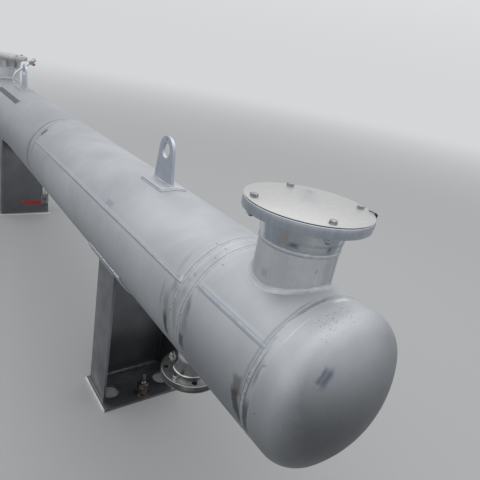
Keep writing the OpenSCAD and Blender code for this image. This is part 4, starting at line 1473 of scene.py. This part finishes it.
@dataclass
class BottomNozzle(Nozzle):
    """The bottom nozzle, closed by a blind flange held by four socket screws."""

    side: str = "bottom"
    x: float = 437
    way: int = -1
    pipe_od: float = 114.3
    wall: float = 6
    reach: float = 400
    flange_od: float = 228.6
    flange_t: float = 24
    hub_od: float = 135
    hub_len: float = 76
    pcd: float = 190.5
    hole: float = 19
    bolt: float = 12
    chamfer: float = 2.6
    metal: Finish = AGED_TURNED
    blind_t: float = 6

    def build(self) -> None:
        """Adds the blind flange and its screws."""
        super().build()
        rim, face = self.flange_od / 2, self.reach
        end = face + self.blind_t
        blind = self.turned("blind_plate", [
            (face + 0.2, rim - 3), (face + 1.2, rim - 0.6), (face + 2, rim - 0.1),
            (end - 1.5, rim - 0.1), (end - 0.4, rim - 0.5), (end, rim - 1.6)], 160, False)
        drilled(blind, self.hole_ring(AXIS_Z - face + 10), self.hole / 2, self.blind_t + 20)
        self.keep(settle(blind, "bottom_blind_plate"), DULL_PLATE, Slot.MACHINED,
                  "bottom_blind_flange")
        self.keep(self.screws(), SCREW, Slot.BOLT, "bottom_flange_screws")

    def screws(self) -> Object:
        """Fits four socket screws from above, with nuts under the blind flange."""
        d, seat, x = self.bolt, AXIS_Z - self.reach + self.flange_t, self.x + self.pcd / 2
        under, low = AXIS_Z - self.reach - self.blind_t, seat + self.washer_t * self.bolt
        head = lathe("head", [(0, 0.7 * d), (0.05 * d, 0.75 * d), (0.93 * d, 0.75 * d),
                              (d, 0.68 * d)], (x, 0, low))
        take()
        bpy.ops.mesh.primitive_cylinder_add(
            vertices=6, radius=0.8 * d / math.sqrt(3) * MM, depth=2 * d * MM,
            location=(x * MM, 0, (low + 1.4 * d) * MM))
        trim(head, bpy.context.object)
        parts = [settle(head, "head"), self.nut(under, 12), self.washer(seat),
                 self.washer(under - self.washer_t * d), self.shank(low + 1, under - 1.35 * d)]
        return self.around(joined("screw", parts), "screws", 22.5, (0, 25, 11, 38))


@dataclass
class Saddle(SubAssembly):
    """A saddle: base plate, folded web, wrapper, their welds and the levelling stud.

    It is drawn for the near saddle, whose base is centred on x = 0, and placed() moves it.
    """

    side: str = "near"
    x: float = 0
    way: int = 1
    base_l: float = 245
    base_t: float = 12
    web_w: float = 370
    web_t: float = 10
    web_flange: float = 184
    web_edge: float = 15
    fold_r: float = 16
    wrapper_t: float = 8
    wrapper_ends: Station = (-150.5, 177.5)
    wrapper_half: float = 65
    wrapper_leg: float = 4.6
    web_leg: float = 3.4
    stitch_pitch: float = 7
    stitch_inset: float = 12
    stud_x: float = 84
    stud_d: float = 30
    stud_h: float = 112
    stud_pitch: float = 3.5

    def placed(self, path: Sequence[Point]) -> list[Point]:
        """Moves points drawn for the near saddle to this one."""
        return [(self.x + self.way * px, self.way * py, pz) for px, py, pz in path]

    def build(self) -> None:
        """Finishes the three plates, then welds them and fits the stud."""
        side = self.side
        self.refined(f"{side}_saddle_base", BASE_PLATE, Slot.SADDLE, 0.8)
        self.refined(f"{side}_saddle_web", MILL, Slot.SADDLE, 0.6)
        self.refined(f"{side}_saddle_wrapper", CLEAN, Slot.SADDLE, 0.8)
        self.keep(self.wrapper_weld(), BRIGHT_WELD, Slot.WELD)
        self.keep(self.web_welds(), PLAIN_WELD, Slot.WELD)
        self.keep(self.stitches(), STITCH, Slot.WELD)
        stands = ["levelling_bolts"] if side == "near" else []
        self.keep(self.stud(), STUD, Slot.BOLT, *stands)

    def wrapper_weld(self) -> Object:
        """Lays the fillet weld round the wrapper's edge, side by side."""
        (low, high), half, out = self.wrapper_ends, self.wrapper_half, SHELL_R + 2.2
        corners = [(low, 180 - half), (high, 180 - half), (high, 180 + half), (low, 180 + half)]
        path = []
        for (x, turn), (to_x, to_turn), count in zip(corners, corners[1:] + corners[:1],
                                                     (60, 70, 60, 70)):
            path += [on_shell(x + (to_x - x) * k / count, turn + (to_turn - turn) * k / count,
                              out) for k in range(count)]
        return bead(f"{self.side}_wrapper_weld", self.placed(path), self.wrapper_leg, True,
                    0.4, 21)

    def web_welds(self) -> Object:
        """Lays the fillet welds outside the folded web, at the wrapper and at the base."""
        web_x, half, f = -self.base_l / 2 + self.web_edge, self.web_w / 2, self.fold_r
        under = SHELL_R + self.wrapper_t
        arch = over_shell([(web_x, half * 0.93 * (k / 40 - 1)) for k in range(81)], under, -1)
        parts = [bead("arch", self.placed(arch), self.web_leg, seed=31)]
        for s in (-1, 1):
            lip = over_shell([(web_x + f + k * 4, s * half) for k in range(41)], under, -1)
            parts.append(bead("lip", self.placed(lip), self.web_leg, seed=32 + s))
        foot = []
        for s in (-1, 1):
            run = [(web_x + self.web_flange - k * 8, s * half, self.base_t) for k in range(21)]
            for a in (math.pi / 2 * k / 6 for k in range(7)):
                run.append((web_x + f - f * math.sin(a), s * (half - f + f * math.cos(a)),
                            self.base_t))
            foot += run if s < 0 else run[::-1]
        parts.append(bead("foot", self.placed(foot), self.web_leg, seed=36))
        return joined(f"{self.side}_web_welds", parts)

    def stitches(self) -> Object:
        """Lays the wide woven weld along the inside foot of the web, stitch by stitch."""
        web_x, t = -self.base_l / 2 + self.web_edge + self.web_t, self.base_t
        end = self.web_w / 2 - self.web_t - self.stitch_inset
        first = bead("stitch", self.placed([
            (web_x + 9, -end - 3.2, t + 0.6), (web_x + 5, -end - 1, t + 2.6),
            (web_x + 2, -end + 1.4, t + 5), (web_x - 0.5, -end + 3.4, t + 8)]),
            2.6, ripple=0.3, seed=41)
        step = self.way * self.stitch_pitch
        parts = [first] + [again(first, f"stitch_{k}", (0, step * k, 0))
                           for k in range(1, int(2 * end / self.stitch_pitch))]
        return joined(f"{self.side}_web_stitches", parts)

    def stud(self) -> Object:
        """Turns the levelling stud and fits its washer and two nuts."""
        x, t, pitch = self.x + self.way * self.stud_x, self.base_t, self.stud_pitch
        d, r, nut, top = self.stud_d, self.stud_d / 2, 0.8 * self.stud_d, t + self.stud_h
        neck = t + 18 + 2 * nut
        thread = [(0.2, r - 2)]
        for k in range(int((neck - 4) / pitch)):
            thread += [(1 + pitch * k, r - 1.9), (1 + pitch * (k + 0.42), r - 0.1),
                       (1 + pitch * (k + 0.58), r - 0.1)]
        tip = [(neck, r - 1), (neck + 3, r - 4.4), (top - 3, r - 4.4), (top, r - 7)]
        parts = [lathe("stud", thread + tip, (x, 0, 0))]
        for low, high, size in ((t, t + 5, 1.1 * d), (t + 12 + nut, t + 16 + nut, 0.875 * d)):
            parts.append(lathe("washer", [
                (low, size - 0.7), (low + 0.7, size), (high - 0.7, size), (high, size - 0.7)],
                (x, 0, 0), steps=64))
        for low, turn in ((t + 5, 0), (t + 16 + nut, 22)):
            parts.append(hexagon("nut", (x, 0, low), 1.53 * d, nut, turn, both=True))
        return joined(f"{self.side}_levelling_stud", parts)


@dataclass
class LiftingLug(SubAssembly):
    """A lifting lug on its pad, with the fillet welds round both."""

    side: str = "near"
    x: float = 40
    pad_l: float = 192
    pad_w: float = 110
    pad_t: float = 8
    corner: float = 14
    lug_w: float = 146
    lug_t: float = 12
    pad_leg: float = 3.2
    lug_leg: float = 4.2
    step: float = 5

    def build(self) -> None:
        """Finishes pad and lug, then lays their welds."""
        side = self.side
        self.refined(f"{side}_lug_pad", CLEAN, Slot.SADDLE, 1.2)
        self.refined(f"{side}_lug", MILL_FLAT, Slot.SADDLE, 0.9)
        for name, path, leg, ripple, seed, finish in (
                ("pad_weld", self.pad_path(), self.pad_leg, 0.15, 51, FILLET),
                ("lug_weld", self.lug_path(), self.lug_leg, 0.4, 52, BRIGHT_WELD)):
            self.keep(bead(f"{side}_{name}", path, leg, True, ripple, seed), finish, Slot.WELD)

    def pad_path(self) -> list[Point]:
        """Gives the line round the pad's foot."""
        corners, c = [], self.corner
        for sx, sy, first in ((1, 1, 0), (-1, 1, 90), (-1, -1, 180), (1, -1, 270)):
            for a in (math.radians(first + 15 * k) for k in range(7)):
                corners.append((sx * (self.pad_l / 2 - c) + c * math.cos(a),
                                sy * (self.pad_w / 2 - c) + c * math.sin(a)))
        flat = []
        for (ax, ay), (bx, by) in zip(corners, corners[1:] + corners[:1]):
            count = max(1, int(math.hypot(bx - ax, by - ay) / self.step))
            flat += [(self.x + (ax + (bx - ax) * k / count), ay + (by - ay) * k / count)
                     for k in range(count)]
        return over_shell(flat, SHELL_R + 1.4)

    def lug_path(self) -> list[Point]:
        """Gives the line round the lug's foot."""
        half, edge, count = self.lug_w / 2, self.lug_t / 2, int(self.lug_w / self.step)
        flat = [(-half + self.step * k, edge) for k in range(count)]
        flat += [(half, edge), (half + 1.5, 0), (half, -edge)]
        flat += [(half - self.step * k, -edge) for k in range(1, count)]
        flat += [(-half, -edge), (-half - 1.5, 0)]
        return over_shell([(self.x + px, py) for px, py in flat], SHELL_R + self.pad_t + 0.4)


@dataclass
class PipedValve(SubAssembly):
    """A small pipe off the vessel that ends in a ball valve with a lever."""

    side: str = ""
    x: float = 0
    way: int = 1
    pipe_od: float = 21.3
    pipes: tuple[str, ...] = ()
    weld_leg: float = 4.2
    metal: Finish = CAST

    def line(self) -> list[Point]:
        """Gives the pipe's centre line; each valve has its own."""
        raise NotImplementedError

    def build(self) -> None:
        """Draws the pipe, welds its foot and finishes the valve."""
        side, r, body = self.side, self.pipe_od / 2, f"{self.side}_handle"
        self.keep(bead(f"{side}_pipe_run", self.line(), r - 0.02, ripple=0), POLISHED_PIPE,
                  Slot.BLASTED, *self.pipes)
        foot = [(self.x + r * math.cos(a), r * math.sin(a))
                for a in (math.tau * k / 48 for k in range(48))]
        self.keep(bead(f"{side}_pipe_weld", over_shell(foot, SHELL_R, self.way), self.weld_leg,
                       True, 0.4, 61), PLAIN_WELD, Slot.WELD)
        self.refined(f"{side}_valve_body", self.metal, Slot.VALVE, 0.6)
        self.refined(f"{side}_valve_stem", BOLT, Slot.BOLT, 0.3, body)
        self.refined(f"{side}_lever", MILL, Slot.VALVE, 0.4, body)
        self.refined(f"{side}_grip", SLEEVE, Slot.GRIP, 0.8, body)


@dataclass
class Vent(PipedValve):
    """The vent on the far course: a riser, a bend of some degrees and a straight run."""

    side: str = "vent"
    x: float = -2792
    pipes: tuple[str, ...] = ("vent_riser", "vent_run_pipe")
    sunk: float = 4
    rise: float = 30
    bend: float = 76
    angle: float = 50
    run: float = 126

    def line(self) -> list[Point]:
        """Gives the pipe's centre line from the shell to the valve."""
        crest, bend, full = AXIS_Z + SHELL_R, self.bend, math.radians(self.angle)
        path = [(self.x, 0.0, crest - self.sunk), (self.x, 0.0, crest + self.rise)]
        for a in (full * k / 16 for k in range(1, 17)):
            path.append((self.x, bend - bend * math.cos(a),
                         crest + self.rise + bend * math.sin(a)))
        _, y, z = path[-1]
        path.append((self.x, y + self.run * math.sin(full), z + self.run * math.cos(full)))
        return path


@dataclass
class Drain(PipedValve):
    """The drain under the far course: a straight pipe down to its valve."""

    side: str = "drain"
    x: float = -1718
    way: int = -1
    pipe_od: float = 33.4
    pipes: tuple[str, ...] = ("drain_pipe",)
    metal: Finish = DIRTY_CAST
    top: float = 575
    foot: float = 384

    def line(self) -> list[Point]:
        """Gives the pipe's centre line from the shell to the valve."""
        return [(self.x, 0, self.top), (self.x, 0, self.foot)]


@dataclass
class Studio:
    """Floor, sky, lamp and the photograph's camera, in metres, watts and millimetres of lens."""

    eye: Point = (1.5753, -0.8301, 1.5147)
    right: Point = (0.57298, 0.79931, 0.18111)
    up: Point = (-0.39628, 0.07677, 0.91492)
    back: Point = (0.71740, -0.59600, 0.36074)
    lens: float = 33.457
    floor_size: float = 160
    floor_gap: float = 0.0005
    floor_fade: Station = (3.0, 24.0)
    lamp_place: Point = (-0.6, 0.6, 5.0)
    lamp_aim: Point = (-0.8, 0, 0.8)
    lamp_size: float = 5.0
    lamp_power: float = 60
    floor_colour: str = "#a9aaab"
    low_sky: str = "#d5d6d8"
    high_sky: str = "#fbfcfd"

    def build(self) -> None:
        """Sets up camera, floor, sky and lamp."""
        self.camera()
        self.floor()
        self.sky()
        self.lamp()

    def camera(self) -> None:
        """Places the camera where the photograph was taken from."""
        take()
        bpy.ops.object.camera_add()
        camera = bpy.context.object
        camera.matrix_world = Matrix(
            [*zip(self.right, self.up, self.back, self.eye), (0, 0, 0, 1)])
        camera.data.lens, camera.data.sensor_width = self.lens, 36
        camera.data.clip_start, camera.data.clip_end = 0.02, 200
        bpy.context.scene.camera = camera

    def floor(self) -> None:
        """Lays the pale studio floor, which fades to the colour of the low sky far off."""
        take()
        bpy.ops.mesh.primitive_plane_add(size=self.floor_size,
                                         location=(0, 0, -self.floor_gap))
        floor = bpy.context.object
        floor.name = "studio_floor"
        made = bpy.data.materials.new("painted studio floor")
        made.use_nodes = True
        tree = made.node_tree
        shader = tree.nodes["Principled BSDF"]
        shader.inputs["Base Color"].default_value = linear(self.floor_colour)
        shader.inputs["Roughness"].default_value = 0.9
        shader.inputs["Specular IOR Level"].default_value = 0.1
        place = node(tree, "TexCoord").outputs["Object"]
        away = node(tree, "VectorMath", {0: place}, operation="LENGTH").outputs["Value"]
        near, far = self.floor_fade
        fade = node(tree, "MapRange", {"Value": away, "From Min": near, "From Max": far},
                    interpolation_type="SMOOTHSTEP").outputs[0]
        wall = node(tree, "Emission", {"Color": linear(self.low_sky)})
        both = node(tree, "MixShader", {0: fade, 1: shader.outputs[0], 2: wall.outputs[0]})
        tree.links.new(both.outputs[0], tree.nodes["Material Output"].inputs["Surface"])
        floor.data.materials.append(made)

    def sky(self) -> None:
        """Lights the studio evenly, paler overhead than at the walls."""
        world = bpy.context.scene.world or bpy.data.worlds.new("studio")
        bpy.context.scene.world = world
        world.use_nodes = True
        tree = world.node_tree
        look = node(tree, "TexCoord").outputs["Generated"]
        up = node(tree, "SeparateXYZ", {0: look}).outputs[2]
        rise = node(tree, "MapRange", {"Value": up, "From Min": 0.02, "From Max": 0.6},
                    interpolation_type="SMOOTHSTEP").outputs[0]
        mixed = node(tree, "Mix", {0: rise, 6: linear(self.low_sky),
                                   7: linear(self.high_sky)}, data_type="RGBA")
        tree.links.new(mixed.outputs[2], tree.nodes["Background"].inputs["Color"])
        tree.nodes["Background"].inputs["Strength"].default_value = 1.0

    def lamp(self) -> None:
        """Hangs the square softbox overhead."""
        take()
        bpy.ops.object.light_add(type="AREA", location=self.lamp_place)
        lamp = bpy.context.object
        lamp.name = "overhead_softbox"
        lamp.data.size, lamp.data.energy = self.lamp_size, self.lamp_power
        down = Vector(self.lamp_aim) - Vector(self.lamp_place)
        lamp.rotation_euler = down.to_track_quat("-Z", "Y").to_euler()


def main() -> None:
    """Builds and dresses the sub-assemblies in order, then the studio."""
    logging.basicConfig(level=logging.INFO, format="%(name)s: %(message)s")
    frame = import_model()
    SubAssembly.packed = frame["nodes"]
    bpy.context.scene.view_settings.view_transform = "Standard"
    for assembly in (
        Barrels(), DishedHeads(), TopNozzle(),
        TopNozzle(side="far", x=-3119, first_bolt=22.5, metal=FAR_TURNED), BottomNozzle(),
        Saddle(), Saddle(side="far", x=-2430, way=-1),
        LiftingLug(), LiftingLug(side="far", x=-2390), Vent(), Drain(),
    ):
        assembly.build()
        assembly.dress()
    Studio().build()


if __name__ == "__main__":
    main()
